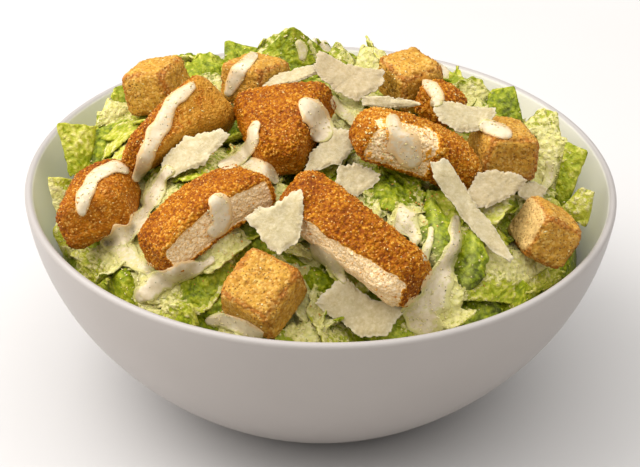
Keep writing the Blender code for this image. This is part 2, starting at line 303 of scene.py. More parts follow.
def glaze_material():
    k = Look("bowl_glaze_look", lin(198, 192, 187), 0.3)
    tint = k.ramp(k.noise(38, 2.0), [(0.3, lin(166, 159, 154)), (0.7, lin(170, 163, 158))])
    # painted light: the inner wall is painted far lighter than the outside, though it is the same glaze; the lip's top
    # is set back to the outer glaze colour so the painted light stays off the lip
    tint = k.mix(k.attr("inside"), tint, lin(238, 234, 228))
    tint = k.mix(k.attr("rim"), tint, lin(166, 160, 156))
    rough = k.step(k.noise(60, 1.0), 0.3, 0.7, 0.32, 0.36)
    skin = k.bump(k.noise(60, 1.0), 0.02, 0.1)
    return k.finish(tint, rough, skin, Coat_Weight=0.05, Coat_Roughness=0.25, IOR=1.45, Specular_IOR_Level=0.4)


def chicken_material():
    k = Look("chicken_look", lin(184, 112, 40), 0.5)
    crumb = k.cell(0.95)
    fine = k.cell(0.6)
    sep = k.nt.nodes.new("ShaderNodeSeparateColor")
    k.put(sep.inputs[0], crumb.outputs["Color"])
    sep2 = k.nt.nodes.new("ShaderNodeSeparateColor")
    k.put(sep2.inputs[0], fine.outputs["Color"])
    pick = k.math("ADD", k.math("MULTIPLY", sep.outputs[0], 0.32), k.math("MULTIPLY", sep2.outputs[1], 0.26))
    # painted light: by the relief height (tip), raised crumbs are painted paler gold as painted highlights and the
    # hollows darker as painted shade
    pick = k.math("ADD", pick, k.math("MULTIPLY", k.attr("tip"), 0.42))
    patch = k.noise(7.5, 2.0)
    pick = k.math("ADD", pick, k.step(patch, 0.25, 0.75, -0.1, 0.1), clamp=True)
    pick = k.math("ADD", pick, k.math("MULTIPLY", k.math("MINIMUM", k.attr("gold"), 0.5), 0.25), clamp=True)
    crust = k.ramp(pick, [(0.1, lin(122, 62, 1)), (0.26, lin(150, 83, 2)), (0.42, lin(168, 99, 5)),
                          (0.58, lin(188, 121, 18)), (0.72, lin(208, 148, 46)), (0.9, lin(232, 190, 108))])
    # painted shade: the crust is darkened at the edges of each crumb, in the gaps between crumbs
    pit = k.step(crumb.outputs["Distance"], 0.36, 0.72, 1.0, 0.0)
    crust = k.mix(1.0, crust, k.ramp(pit, [(0.0, (0.74, 0.57, 0.36, 1.0)), (1.0, lin(255, 255, 255))]), "MULTIPLY")
    # painted glint: a few small crumb centres are painted pale gold as highlights
    painted_glint = k.math("MULTIPLY", k.step(sep2.outputs[2], 0.84, 0.9), k.step(fine.outputs["Distance"], 0.2, 0.45, 1.0, 0.0))
    crust = k.mix(k.math("MULTIPLY", painted_glint, 0.6), crust, lin(244, 204, 126))
    # cut face of the meat
    grain = k.noise(0.8, 4.0, 0.7)
    meat = k.ramp(grain, [(0.3, lin(200, 150, 86)), (0.42, lin(234, 194, 134)), (0.56, lin(247, 218, 172)),
                          (0.7, lin(255, 240, 212))])
    blush = k.noise(6.0, 2.0)
    meat = k.mix(k.step(blush, 0.5, 0.75, 0.0, 0.4), meat, lin(236, 194, 144))
    dots = k.cell(1.3)
    meat = k.mix(k.step(dots.outputs["Distance"], 0.08, 0.15, 0.3, 0.0), meat, lin(140, 96, 48))
    edge = k.math("ADD", k.attr("meat"), k.step(k.noise(1.6, 2.0), 0.2, 0.8, -0.22, 0.22))
    colour = k.mix(k.step(edge, 0.2, 0.42), crust, lin(218, 150, 44))
    colour = k.mix(k.step(edge, 0.48, 0.66), colour, meat)
    # smoother golden skin where the breading has been pressed
    skin = k.ramp(k.noise(2.2, 3.0), [(0.3, lin(138, 74, 1)), (0.5, lin(162, 93, 5)), (0.75, lin(192, 124, 22))])
    skin = k.mix(k.step(sep2.outputs[0], 0.7, 1.0, 0.0, 0.6), skin, lin(232, 184, 96))
    skin = k.mix(k.step(k.attr("gold"), 0.55, 0.95, 0.0, 0.8), skin,
                 k.ramp(k.noise(2.0, 3.0), [(0.3, lin(158, 104, 20)), (0.5, lin(186, 133, 40)), (0.75, lin(208, 162, 70))]))
    speck = k.cell(1.0)
    skin = k.mix(k.step(speck.outputs["Distance"], 0.14, 0.24, 0.6, 0.0), skin, lin(104, 62, 14))
    colour = k.mix(k.math("MULTIPLY", k.attr("skin"), 0.85), colour, skin)
    height = k.math("SUBTRACT", 1.0, crumb.outputs["Distance"])
    height = k.math("ADD", height, k.math("MULTIPLY", k.math("SUBTRACT", 1.0, fine.outputs["Distance"]), 0.6))
    height = k.math("ADD", height, k.math("MULTIPLY", grain, 0.5))
    rough = k.step(sep.outputs[2], 0.0, 1.0, 0.3, 0.6)
    return k.finish(colour, rough, k.bump(height, 0.55, 0.8), Specular_IOR_Level=0.12)


def crumb_material():
    k = Look("crumb_look", lin(206, 142, 60), 0.6)
    base = k.ramp(k.noise(1.1, 2.0), [(0.3, lin(184, 116, 34)), (0.5, lin(212, 150, 64)), (0.65, lin(230, 180, 98)), (0.8, lin(242, 208, 146))])
    return k.finish(base, k.step(k.noise(0.9), 0.3, 0.7, 0.4, 0.65), k.bump(k.noise(0.5, 2.0), 0.15, 0.5), Specular_IOR_Level=0.25)


def crouton_material():
    k = Look("crouton_look", lin(208, 152, 66), 0.7)
    base = k.ramp(k.noise(2.4, 4.0, 0.6), [(0.25, lin(160, 105, 22)), (0.45, lin(182, 130, 38)),
                                           (0.62, lin(197, 149, 54)), (0.8, lin(214, 176, 90))])
    toast = k.math("ADD", k.attr("toast"), k.step(k.noise(3.5, 3.0), 0.25, 0.75, -0.25, 0.25))
    base = k.mix(k.step(toast, 0.3, 0.85, 0.0, 0.9), base,
                 k.ramp(k.noise(1.4, 3.0), [(0.3, lin(132, 72, 10)), (0.55, lin(168, 100, 22)), (0.75, lin(196, 134, 50))]))
    # paler cut-face colour on faces toward the lamps on the left: partly own colour, partly painted light
    base = k.mix(k.math("MULTIPLY", k.attr("pale_and_lit_face"), 0.8), base, lin(216, 182, 118))
    grain = k.cell(0.7)
    sepg = k.nt.nodes.new("ShaderNodeSeparateColor")
    k.put(sepg.inputs[0], grain.outputs["Color"])
    base = k.mix(k.step(sepg.outputs[0], 0.6, 1.0, 0.0, 0.45), base, lin(228, 194, 116))
    base = k.mix(k.step(sepg.outputs[1], 0.66, 1.0, 0.0, 0.45), base, lin(154, 94, 22))
    pore = k.cell(0.95)
    sep = k.nt.nodes.new("ShaderNodeSeparateColor")
    k.put(sep.inputs[0], pore.outputs["Color"])
    hole = k.math("MULTIPLY", k.step(pore.outputs["Distance"], 0.18, 0.32, 1.0, 0.0), k.step(sep.outputs[0], 0.25, 0.4))
    hole2 = k.step(grain.outputs["Distance"], 0.12, 0.24, 0.4, 0.0)
    hole = k.math("MAXIMUM", hole, hole2)
    # painted shade: the pores and small grain centres, which the bump also sinks, are painted dark brown
    base = k.mix(k.math("MULTIPLY", hole, 0.75), base, lin(112, 70, 16))
    height = k.math("SUBTRACT", k.math("SUBTRACT", k.noise(0.9, 3.0), k.math("MULTIPLY", grain.outputs["Distance"], 0.6)), k.math("MULTIPLY", hole, 0.7))
    return k.finish(base, k.step(sepg.outputs[2], 0.0, 1.0, 0.4, 0.75), k.bump(height, 0.4, 0.7), Specular_IOR_Level=0.25)


def cheese_material():
    k = Look("parmesan_look", lin(220, 206, 168), 0.55)
    base = k.ramp(k.noise(2.0, 4.0, 0.6), [(0.28, lin(176, 159, 112)), (0.5, lin(191, 175, 134)), (0.72, lin(205, 191, 156))])
    base = k.mix(k.step(k.noise(9, 2.0), 0.4, 0.7, 0.0, 0.4), base, lin(178, 166, 132))
    base = k.mix(k.math("MULTIPLY", k.attr("rind"), 0.5), base, lin(212, 203, 178))
    flake = k.cell(0.75)
    sepf = k.nt.nodes.new("ShaderNodeSeparateColor")
    k.put(sepf.inputs[0], flake.outputs["Color"])
    base = k.mix(k.step(sepf.outputs[0], 0.55, 1.0, 0.0, 0.22), base, lin(222, 211, 178))
    base = k.mix(k.step(sepf.outputs[1], 0.6, 1.0, 0.0, 0.2), base, lin(164, 148, 102))
    pit = k.cell(0.8)
    base = k.mix(k.step(pit.outputs["Distance"], 0.1, 0.3, 0.3, 0.0), base, lin(214, 205, 180))
    # painted shade: some shavings are multiplied darker by a per-shaving value, standing in for less light falling on
    # them
    base = k.mix(k.attr("painted_shade"), base, k.mix(1.0, base, (0.78, 0.72, 0.68, 1.0), "MULTIPLY"))
    return k.finish(base, k.step(k.noise(1.5), 0.3, 0.7, 0.4, 0.65), k.bump(k.noise(0.8, 4.0, 0.65), 0.35, 0.75),
                    Subsurface_Weight=0.12, Subsurface_Radius=(1.0, 0.8, 0.5), Subsurface_Scale=0.0012, Specular_IOR_Level=0.3)


def grated_material():
    k = Look("grated_look", lin(222, 208, 156), 0.6)
    base = k.ramp(k.noise(1.4, 2.0), [(0.3, lin(206, 192, 124)), (0.5, lin(220, 206, 150)), (0.7, lin(232, 222, 178))])
    return k.finish(base, k.step(k.noise(0.9), 0.3, 0.7, 0.45, 0.7), k.bump(k.noise(0.4, 2.0), 0.1, 0.4), Specular_IOR_Level=0.2)


def lettuce_material():
    k = Look("lettuce_look", lin(140, 165, 50), 0.4)
    tone = k.attr("tone")
    tone = k.math("ADD", tone, k.step(k.noise(4.5, 3.0, 0.6), 0.25, 0.75, -0.1, 0.1))
    wart = k.cell(1.9)
    fine = k.noise(1.5, 3.0, 0.6)
    micro = k.math("ADD", k.math("MULTIPLY", fine, 0.9), k.math("MULTIPLY", k.math("SUBTRACT", 1.0, wart.outputs["Distance"]), 0.55))
    # painted light: raised crinkles are painted paler as painted highlights, and the hollows between them darker green
    # as painted shade
    tone = k.math("ADD", tone, k.step(micro, 0.5, 1.05, 0.16, -0.19), clamp=True)
    green = k.ramp(tone, [(0.0, lin(224, 214, 152)), (0.2, lin(200, 194, 98)), (0.4, lin(170, 170, 46)),
                          (0.6, lin(136, 146, 10)), (0.8, lin(104, 118, 1)), (1.0, lin(58, 66, 1))])
    vein = k.attr("vein")
    green = k.mix(k.math("MULTIPLY", vein, 0.35), green, lin(198, 202, 100))
    coat = k.attr("coat")
    cover = k.math("ADD", k.math("MULTIPLY", k.noise(1.5, 4.0, 0.66), 0.6), k.math("MULTIPLY", k.noise(5.0, 2.0), 0.4))
    cover = k.math("SUBTRACT", k.math("ADD", cover, coat), 1.0)
    cover = k.math("ADD", cover, k.step(micro, 0.5, 1.1, -0.08, 0.08))
    film = k.step(cover, -0.03, 0.07)
    cream = k.ramp(k.noise(1.6, 3.0), [(0.3, lin(196, 188, 110)), (0.55, lin(214, 204, 144)), (0.75, lin(232, 222, 180))])
    colour = k.mix(k.math("MULTIPLY", film, 0.72), green, cream)
    pepper = k.cell(2.8)
    colour = k.mix(k.math("MULTIPLY", k.step(pepper.outputs["Distance"], 0.05, 0.09, 0.6, 0.0), film), colour, lin(80, 76, 30))
    height = k.math("ADD", k.math("MULTIPLY", micro, 1.3), k.math("MULTIPLY", film, 0.3))
    height = k.math("ADD", height, k.math("MULTIPLY", k.noise(2.4, 2.0), 0.8))
    height = k.math("ADD", height, k.math("MULTIPLY", k.noise(0.7, 2.0), 0.3))
    height = k.math("SUBTRACT", height, k.math("MULTIPLY", vein, 0.4))
    rough = k.step(k.noise(1.8, 2.0), 0.3, 0.7, 0.26, 0.5)
    return k.finish(colour, rough, k.bump(height, 0.75, 0.85),
                    Subsurface_Weight=0.1, Subsurface_Radius=(0.8, 1.0, 0.2), Subsurface_Scale=0.0012, Specular_IOR_Level=0.18)


def dressing_material():
    k = Look("dressing_look", lin(228, 218, 198), 0.25)
    base = k.ramp(k.noise(3.0, 3.0), [(0.3, lin(196, 179, 144)), (0.55, lin(208, 193, 163)), (0.75, lin(218, 205, 180))])
    under = k.mix(k.attr("brown"), lin(184, 178, 96), lin(214, 174, 114))
    worn = k.step(k.math("ADD", k.noise(1.3, 3.0, 0.6), k.math("MULTIPLY", k.attr("thin"), 0.55)), 0.62, 0.98, 0.0, 0.75)
    base = k.mix(worn, base, under)
    dots = k.cell(2.5)
    base = k.mix(k.step(dots.outputs["Distance"], 0.04, 0.09, 0.6, 0.0), base, lin(104, 86, 52))
    herb = k.cell(3.1)
    base = k.mix(k.step(herb.outputs["Distance"], 0.05, 0.09, 0.6, 0.0), base, lin(96, 100, 44))
    height = k.math("ADD", k.noise(0.9, 4.0, 0.65), k.noise(3.5, 2.0))
    return k.finish(base, k.step(k.noise(2.0), 0.3, 0.7, 0.3, 0.5), k.bump(height, 0.18, 0.6), Coat_Weight=0.08,
                    Coat_Roughness=0.2, Specular_IOR_Level=0.35, Subsurface_Weight=0.2, Subsurface_Radius=(1.0, 0.8, 0.6), Subsurface_Scale=0.002)


def speck_material():
    k = Look("pepper_look", lin(54, 42, 26), 0.6)
    base = k.ramp(k.noise(0.7, 2.0), [(0.35, lin(38, 28, 16)), (0.6, lin(70, 56, 32)), (0.8, lin(92, 88, 40))])
    return k.finish(base, 0.6, k.bump(k.noise(0.3, 2.0), 0.1, 0.5))


def floor_material():
    k = Look("floor_look", lin(194, 192, 191), 0.8)
    base = k.ramp(k.noise(160, 2.0), [(0.3, lin(193, 191, 190)), (0.7, lin(196, 194, 193))])
    return k.finish(base, 0.8, k.bump(k.noise(30, 2.0), 0.02, 0.2), Specular_IOR_Level=0.2)


GLAZE = glaze_material()
CHICKEN = chicken_material()
CRUMB = crumb_material()
CROUTON = crouton_material()
CHEESE = cheese_material()
GRATED = grated_material()
LETTUCE = lettuce_material()
DRESSING = dressing_material()
SPECK = speck_material()
FLOOR = floor_material()

# ================================================================ camera, floor and light
ELEVATION = math.radians(30.29)
ROLL = math.radians(1.12)
DISTANCE = 689.0
FOCAL = 2026.0                                       # in widths of one of 640 columns
AIM = (-1.07 / FOCAL, -56.25 / FOCAL)                # from the rim's middle to the picture's middle

back = np.array([0.0, -math.cos(ELEVATION), math.sin(ELEVATION)])
right0 = np.array([1.0, 0.0, 0.0])
up0 = np.array([0.0, math.sin(ELEVATION), math.cos(ELEVATION)])
EYE = np.array([0.0, 0.0, RIM]) + back * DISTANCE    # where the viewer stands, mm
cam_x = math.cos(ROLL) * right0 + math.sin(ROLL) * up0
cam_y = -math.sin(ROLL) * right0 + math.cos(ROLL) * up0
aim = -back + cam_x * AIM[0] + cam_y * AIM[1]
aim /= np.linalg.norm(aim)
cz = -aim
cx = cam_x - cz * (cam_x @ cz)
cx /= np.linalg.norm(cx)
cy = np.cross(cz, cx)

cam_data = bpy.data.cameras.new("camera")
cam_data.sensor_width = 36.0
cam_data.lens = FOCAL * 36.0 / 640.0
cam_data.clip_start = 0.01
cam_data.clip_end = 20.0
camera = bpy.data.objects.new("camera", cam_data)
bpy.context.scene.collection.objects.link(camera)
camera.matrix_world = Matrix(((cx[0], cy[0], cz[0], EYE[0] * MM), (cx[1], cy[1], cz[1], EYE[1] * MM),
                              (cx[2], cy[2], cz[2], EYE[2] * MM), (0, 0, 0, 1)))
bpy.context.scene.camera = camera


def sheet(u, v, toward=0.0):
    """A point on the plane that faces the viewer through the rim's middle: u right, v up, mm."""
    return np.array([0.0, 0.0, RIM]) + right0 * u + up0 * v + back * toward


def V(u, v, y):
    """The point behind (u, v) on the facing plane that lies y mm behind the bowl's middle."""
    d = sheet(u, v) - EYE
    return EYE + d * ((y - EYE[1]) / d[1])


def area_light(name, place, target, size, power, colour):
    data = bpy.data.lights.new(name, "AREA")
    data.shape = "RECTANGLE"
    data.size, data.size_y = size
    data.energy = power
    data.color = colour
    lamp = bpy.data.objects.new(name, data)
    lamp.location = place
    lamp.rotation_euler = (Vector(target) - Vector(place)).to_track_quat("-Z", "Y").to_euler()
    bpy.context.scene.collection.objects.link(lamp)


area_light("key", (-0.6, 0.06, 0.86), (0, 0, 0.07), (0.9, 0.9), 9.3, (1.0, 0.978, 0.955))
area_light("side", (-1.0, -0.2, 0.34), (0, 0, 0.06), (0.7, 0.5), 2.8, (1.0, 0.97, 0.94))

world = bpy.data.worlds.new("studio")
bpy.context.scene.world = world
world.use_nodes = True
wt = world.node_tree
wbg = wt.nodes["Background"]
geo = wt.nodes.new("ShaderNodeTexCoord")
sepw = wt.nodes.new("ShaderNodeSeparateXYZ")
wt.links.new(geo.outputs["Generated"], sepw.inputs[0])
rw = wt.nodes.new("ShaderNodeValToRGB")
rw.color_ramp.elements[0].position = 0.3
rw.color_ramp.elements[0].color = (0.05, 0.049, 0.048, 1)
rw.color_ramp.elements[1].position = 0.85
rw.color_ramp.elements[1].color = (1.0, 0.99, 0.97, 1)
wt.links.new(sepw.outputs["Z"], rw.inputs[0])
wt.links.new(rw.outputs[0], wbg.inputs["Color"])
wbg.inputs["Strength"].default_value = 2.1

scene = bpy.context.scene
scene.view_settings.view_transform = "Standard"
scene.view_settings.look = "None"
scene.view_settings.exposure = 0.0
scene.view_settings.gamma = 1.0

fx, fy = np.meshgrid(np.linspace(-3000, 3000, 13), np.linspace(-3000, 3000, 13), indexing="ij")
floor_co = np.stack([fx.ravel(), fy.ravel(), np.full(fx.size, -0.2)], 1)
fi = np.arange(12 * 13).reshape(12, 13)[:, :12].ravel()
floor = build("floor", floor_co, np.stack([fi, fi + 13, fi + 14, fi + 1], 1), None, None, FLOOR)

# ================================================================ bowl
FOOT_RADIUS, FOOT_EDGE, BELLY = 44.0, 1.6, (94.5, 27.0)
LIP_WALL, SIDE_WALL, FLOOR_WALL = 2.9, 4.2, 6.0


def outer_point(t):
    pts = ((FOOT_RADIUS, 0.0), (FOOT_RADIUS + 0.5, 0.2), BELLY, (BOWL_RADIUS, RIM - 1.4))
    w = ((1 - t) ** 3, 3 * (1 - t) ** 2 * t, 3 * (1 - t) * t * t, t ** 3)
    return sum(a * p[0] for a, p in zip(w, pts)), sum(a * p[1] for a, p in zip(w, pts))


def inner_point(t):
    e = 0.002
    r0, z0 = outer_point(max(0.0, t - e))
    r1, z1 = outer_point(min(1.0, t + e))
    length = math.hypot(r1 - r0, z1 - z0)
    r, z = outer_point(t)
    k = t / 0.45 if t < 0.45 else (t - 0.45) / 0.55
    w = FLOOR_WALL + (SIDE_WALL - FLOOR_WALL) * k if t < 0.45 else SIDE_WALL + (LIP_WALL - SIDE_WALL) * k
    return r - (z1 - z0) / length * w, z + (r1 - r0) / length * w


def turned(name, profile, segments, material):
    prof = np.array(profile)
    a = TAU * np.arange(segments) / segments
    n = len(prof)
    co = np.stack([prof[:, 0][:, None] * np.cos(a), prof[:, 0][:, None] * np.sin(a),
                   np.repeat(prof[:, 1][:, None], segments, 1)], -1).reshape(-1, 3)
    co = np.vstack([co, [0, 0, prof[0, 1]], [0, 0, prof[-1, 1]]])
    k, s = np.meshgrid(np.arange(n - 1), np.arange(segments), indexing="ij")
    k, s = k.ravel(), s.ravel()
    m = (s + 1) % segments
    quads = np.stack([k * segments + s, k * segments + m, (k + 1) * segments + m, (k + 1) * segments + s], 1)
    s = np.arange(segments)
    m = (s + 1) % segments
    last = (n - 1) * segments
    tris = np.vstack([np.stack([np.full(segments, len(co) - 2), m, s], 1),
                      np.stack([np.full(segments, len(co) - 1), last + s, last + m], 1)])
    nrm = normals_of(co, quads)
    out = (nrm[:, :2] * co[:, :2]).sum(1) / np.maximum(np.hypot(co[:, 0], co[:, 1]), 1e-6)
    # inside marks the inner wall, which the glaze paints lighter as painted light; rim marks the lip's top, kept at the
    # outer glaze colour
    return build(name, co, quads, tris, {"inside": smooth(0.1, -0.5, out) * smooth(2.0, 8.0, co[:, 2]),
                                         "rim": smooth(0.3, 0.9, nrm[:, 2]) * smooth(76.0, 77.2, co[:, 2])}, material)


profile = [(12.0, 0.0), (30.0, 0.0), (FOOT_RADIUS - FOOT_EDGE, 0.0)]
for i in range(1, 5):
    a = i / 5.0 * math.pi / 2
    profile.append((FOOT_RADIUS - FOOT_EDGE + (FOOT_EDGE + 0.15) * math.sin(a), 0.55 * (1 - math.cos(a))))
profile += [outer_point(0.1 + 0.9 * i / 44.0) for i in range(45)]
(ro, zo), (ri, zi) = outer_point(1.0), inner_point(1.0)
lip_r, lip_z, lip_rad = (ro + ri) / 2, (zo + zi) / 2, math.hypot(ro - ri, zo - zi) / 2
lip_a = math.atan2(zo - lip_z, ro - lip_r)
profile += [(lip_r + lip_rad * math.cos(lip_a + math.pi * i / 14), lip_z + lip_rad * math.sin(lip_a + math.pi * i / 14))
            for i in range(1, 14)]
profile += [inner_point(1.0 - 0.94 * (i / 36.0) ** 1.1) for i in range(37)]
profile.append((10.0, inner_point(0.06)[1] - 0.25))
bowl = turned("bowl_fine", profile, 224, GLAZE)
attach(bowl, "root")
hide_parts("bowl")


# ================================================================ croutons and chicken
def waviness(q, seed):
    x, y, z = q[:, 0], q[:, 1], q[:, 2]
    s = seed * 1.7
    return (0.45 * np.sin(2.3 * x + 1.1 * y + s) + 0.30 * np.sin(2.9 * y - 1.7 * z + 2.1 * s)
            + 0.25 * np.sin(3.1 * z + 2.2 * x + 0.6 * s))


def block_grid(size, cell):
    """Points on the surface of a cube of -1..1, close to cell apart once it has its size."""
    n = [max(6, int(round(v / cell))) for v in size]
    pts, quads = [], []
    for axis in range(3):
        a, b = [(1, 2), (2, 0), (0, 1)][axis]
        for side in (0, n[axis]):
            i, j = np.meshgrid(np.arange(n[a] + 1), np.arange(n[b] + 1), indexing="ij")
            p = np.zeros((i.size, 3), int)
            p[:, axis] = side
            p[:, a] = i.ravel()
            p[:, b] = j.ravel()
            base = sum(len(q) for q in pts)
            idx = (np.arange(n[a])[:, None] * (n[b] + 1) + np.arange(n[b])[None, :]).ravel() + base
            w = n[b] + 1
            q = np.stack([idx, idx + w, idx + w + 1, idx + 1], 1)
            quads.append(q if side else q[:, ::-1])
            pts.append(p)
    pts, quads = np.vstack(pts), np.vstack(quads)
    uniq, inverse = np.unique(pts, axis=0, return_inverse=True)
    return uniq / np.array(n) * 2.0 - 1.0, inverse.ravel()[quads]


def block_shape(p, size, round_off, dome, bend, taper, lump, seed):
    half = np.array(size) / 2.0
    rad = round_off * half.min()
    q = p * half
    core = np.clip(q, -(half - rad), half - rad)
    d = q - core
    length = np.linalg.norm(d, axis=1)
    far = length > 1e-9
    unit = d / np.where(far, length, 1.0)[:, None]
    q = np.where(far[:, None], core + unit * np.abs(d).max(1)[:, None], q)
    u, v, w = (q / half).T
    grow = 1.0 + lump * waviness(np.stack([u, v, w], 1), seed)
    x, y, z = (q * grow[:, None]).T
    z = np.where(z > 0, z * (1.0 - dome * u * u), z)
    z = z - bend * u * u * half[0]
    x = x * (1.0 + taper[0] * w)
    y = y * (1.0 + taper[1] * u)
    return np.stack([x, y, z], 1)


def place(co, at, turn):
    m = np.array(Euler([math.radians(a) for a in turn], "XYZ").to_matrix())
    return co @ m.T + np.array(at)


CROUTON_ROWS = {
    "crouton_back_left": dict(size=(18.5, 19.5, 16), at=(-57.2, 23.5, 99.7), turn=(-6, -18, -18), taper=(-0.05, 0.04), seed=1),
    "crouton_back_middle": dict(size=(17.5, 19.5, 15), at=(-23.2, 20, 104.3), turn=(-12, -3, -31), taper=(-0.04, 0.0), seed=2),
    "crouton_back_right": dict(size=(19, 16.5, 16), at=(29.6, 19, 106.3), turn=(6, 4, -58), taper=(-0.06, 0.05), seed=3),
    "crouton_right": dict(size=(19, 20.5, 15), at=(59.6, -14, 99), turn=(-5, 12, 14), taper=(-0.08, 0.0), seed=4),
    "crouton_front_right": dict(size=(20, 16, 16.5), at=(72.3, -40.6, 83.2), turn=(-33, -5, -74), taper=(-0.04, 0.03), seed=5, pale_and_lit_face=(-0.82, -0.18, 0.54)),
    "crouton_front_left": dict(size=(20, 20.5, 17), at=(-17.3, -78, 82.5), turn=(28, 11, -31), taper=(-0.05, 0.03), seed=6),
}
CHICKEN_ROWS = {
    "chicken_back_left": dict(size=(40.5, 16, 17), at=(-47.2, -12.1, 104.0), turn=(33, -8, 49), dome=0.15, bend=0.16, taper=(0.0, 0.36), seed=7, skin="right", gold=1.2, skin_at=-0.3),
    "chicken_back_middle": dict(size=(33, 24.5, 17), at=(-13.2, -18, 107.2), turn=(-9, -12, 90), dome=0.15, bend=0.08, taper=(0.0, 0.45), seed=8, skin="low", light=-0.13),
    "chicken_back_small": dict(size=(14.5, 14, 12), at=(39.2, 1.5, 106.8), turn=(-18, 13, -32), dome=0.2, bend=-0.05, taper=(0.0, 0.02), seed=9),
    "chicken_back_right": dict(size=(41.5, 20.3, 15.5), at=(31, -28.4, 106.8), turn=(-6, 26, 8), dome=0.25, bend=0.08, taper=(0.0, 0.0), seed=10, meat=True, meat_to=0.14, meat_top=1.4, meat_side=-0.34, torn=3.0, crumbed=0.42, light=0.16),
    "chicken_left": dict(size=(23, 28.5, 17.5), at=(-71.8, -32.6, 86.6), turn=(-5, -28, -5), dome=0.15, bend=0.07, taper=(0.0, -0.12), seed=11, skin="right", light=-0.3),
    "chicken_front_left": dict(size=(43, 20, 15), at=(-36.7, -55.6, 97.2), turn=(-13, -21, 36), dome=0.25, bend=0.13, taper=(0.0, 0.08), seed=12, meat=True),
    "chicken_front_right": dict(size=(51, 19, 18.3), at=(9.8, -67.5, 96.7), turn=(36, 17, -38), dome=0.12, bend=0.14, taper=(0.0, 0.0), seed=13, meat=True, cut=(29.4, 9.3), light=-0.15),
}

toppings = {}
for name, c in CROUTON_ROWS.items():
    p, quads = block_grid(c["size"], 0.46)
    co = block_shape(p, c["size"], 0.42, 0.05, 0.0, c["taper"], 0.035, c["seed"])
    nrm = normals_of(co, quads)
    q = co + 40.0 * c["seed"]
    edges = np.sort(np.abs(p), 1)
    edge = smooth(0.55, 1.0, edges[:, 1]) * 0.75 + 0.25 * smooth(0.5, 1.0, edges[:, 0])
    f1, number = cells(q / 1.5, c["seed"])
    pores = np.where(number < 0.42, smooth(0.5, 0.15, f1), 0.0)
    f2, number2 = cells(q / 0.95, c["seed"] + 9)
    fine = np.where(number2 < 0.5, smooth(0.45, 0.1, f2), 0.0)
    f3, _ = cells(q / 0.85, c["seed"] + 21)
    grit = np.clip(1.0 - f3 / 0.6, -0.2, 1) * (0.35 + 0.65 * edge)
    h = (0.42 * fbm(q / 4.2, 3, c["seed"]) + 0.26 * fbm(q / 1.4, 2, c["seed"] + 5) - 0.62 * pores - 0.3 * fine + 0.55 * grit
         - 0.35 * edge * smooth(-0.2, 0.6, vnoise(q / 2.2, c["seed"] + 3)))
    co = co + nrm * h[:, None]
    toast = np.clip(edge + 0.25 * vnoise(q / 6.0, c["seed"] + 7) + 0.35 * np.clip(-nrm[:, 2], 0, 1), 0, 1)
    seen = place(nrm, (0, 0, 0), c["turn"])
    # the faces that turn toward the lamps on the left get a paler colour: partly the bread's own paler cut face, partly
    # painted light
    pale_and_lit_face = smooth(0.72, 0.9, seen @ np.array(c["pale_and_lit_face"])) if "pale_and_lit_face" in c else np.zeros(len(co))
    obj = build(name + "_crumb", place(co, c["at"], c["turn"]), quads, None, {"toast": toast, "pale_and_lit_face": pale_and_lit_face}, CROUTON)
    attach(obj, "root")
    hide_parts(name)
    toppings[name] = obj

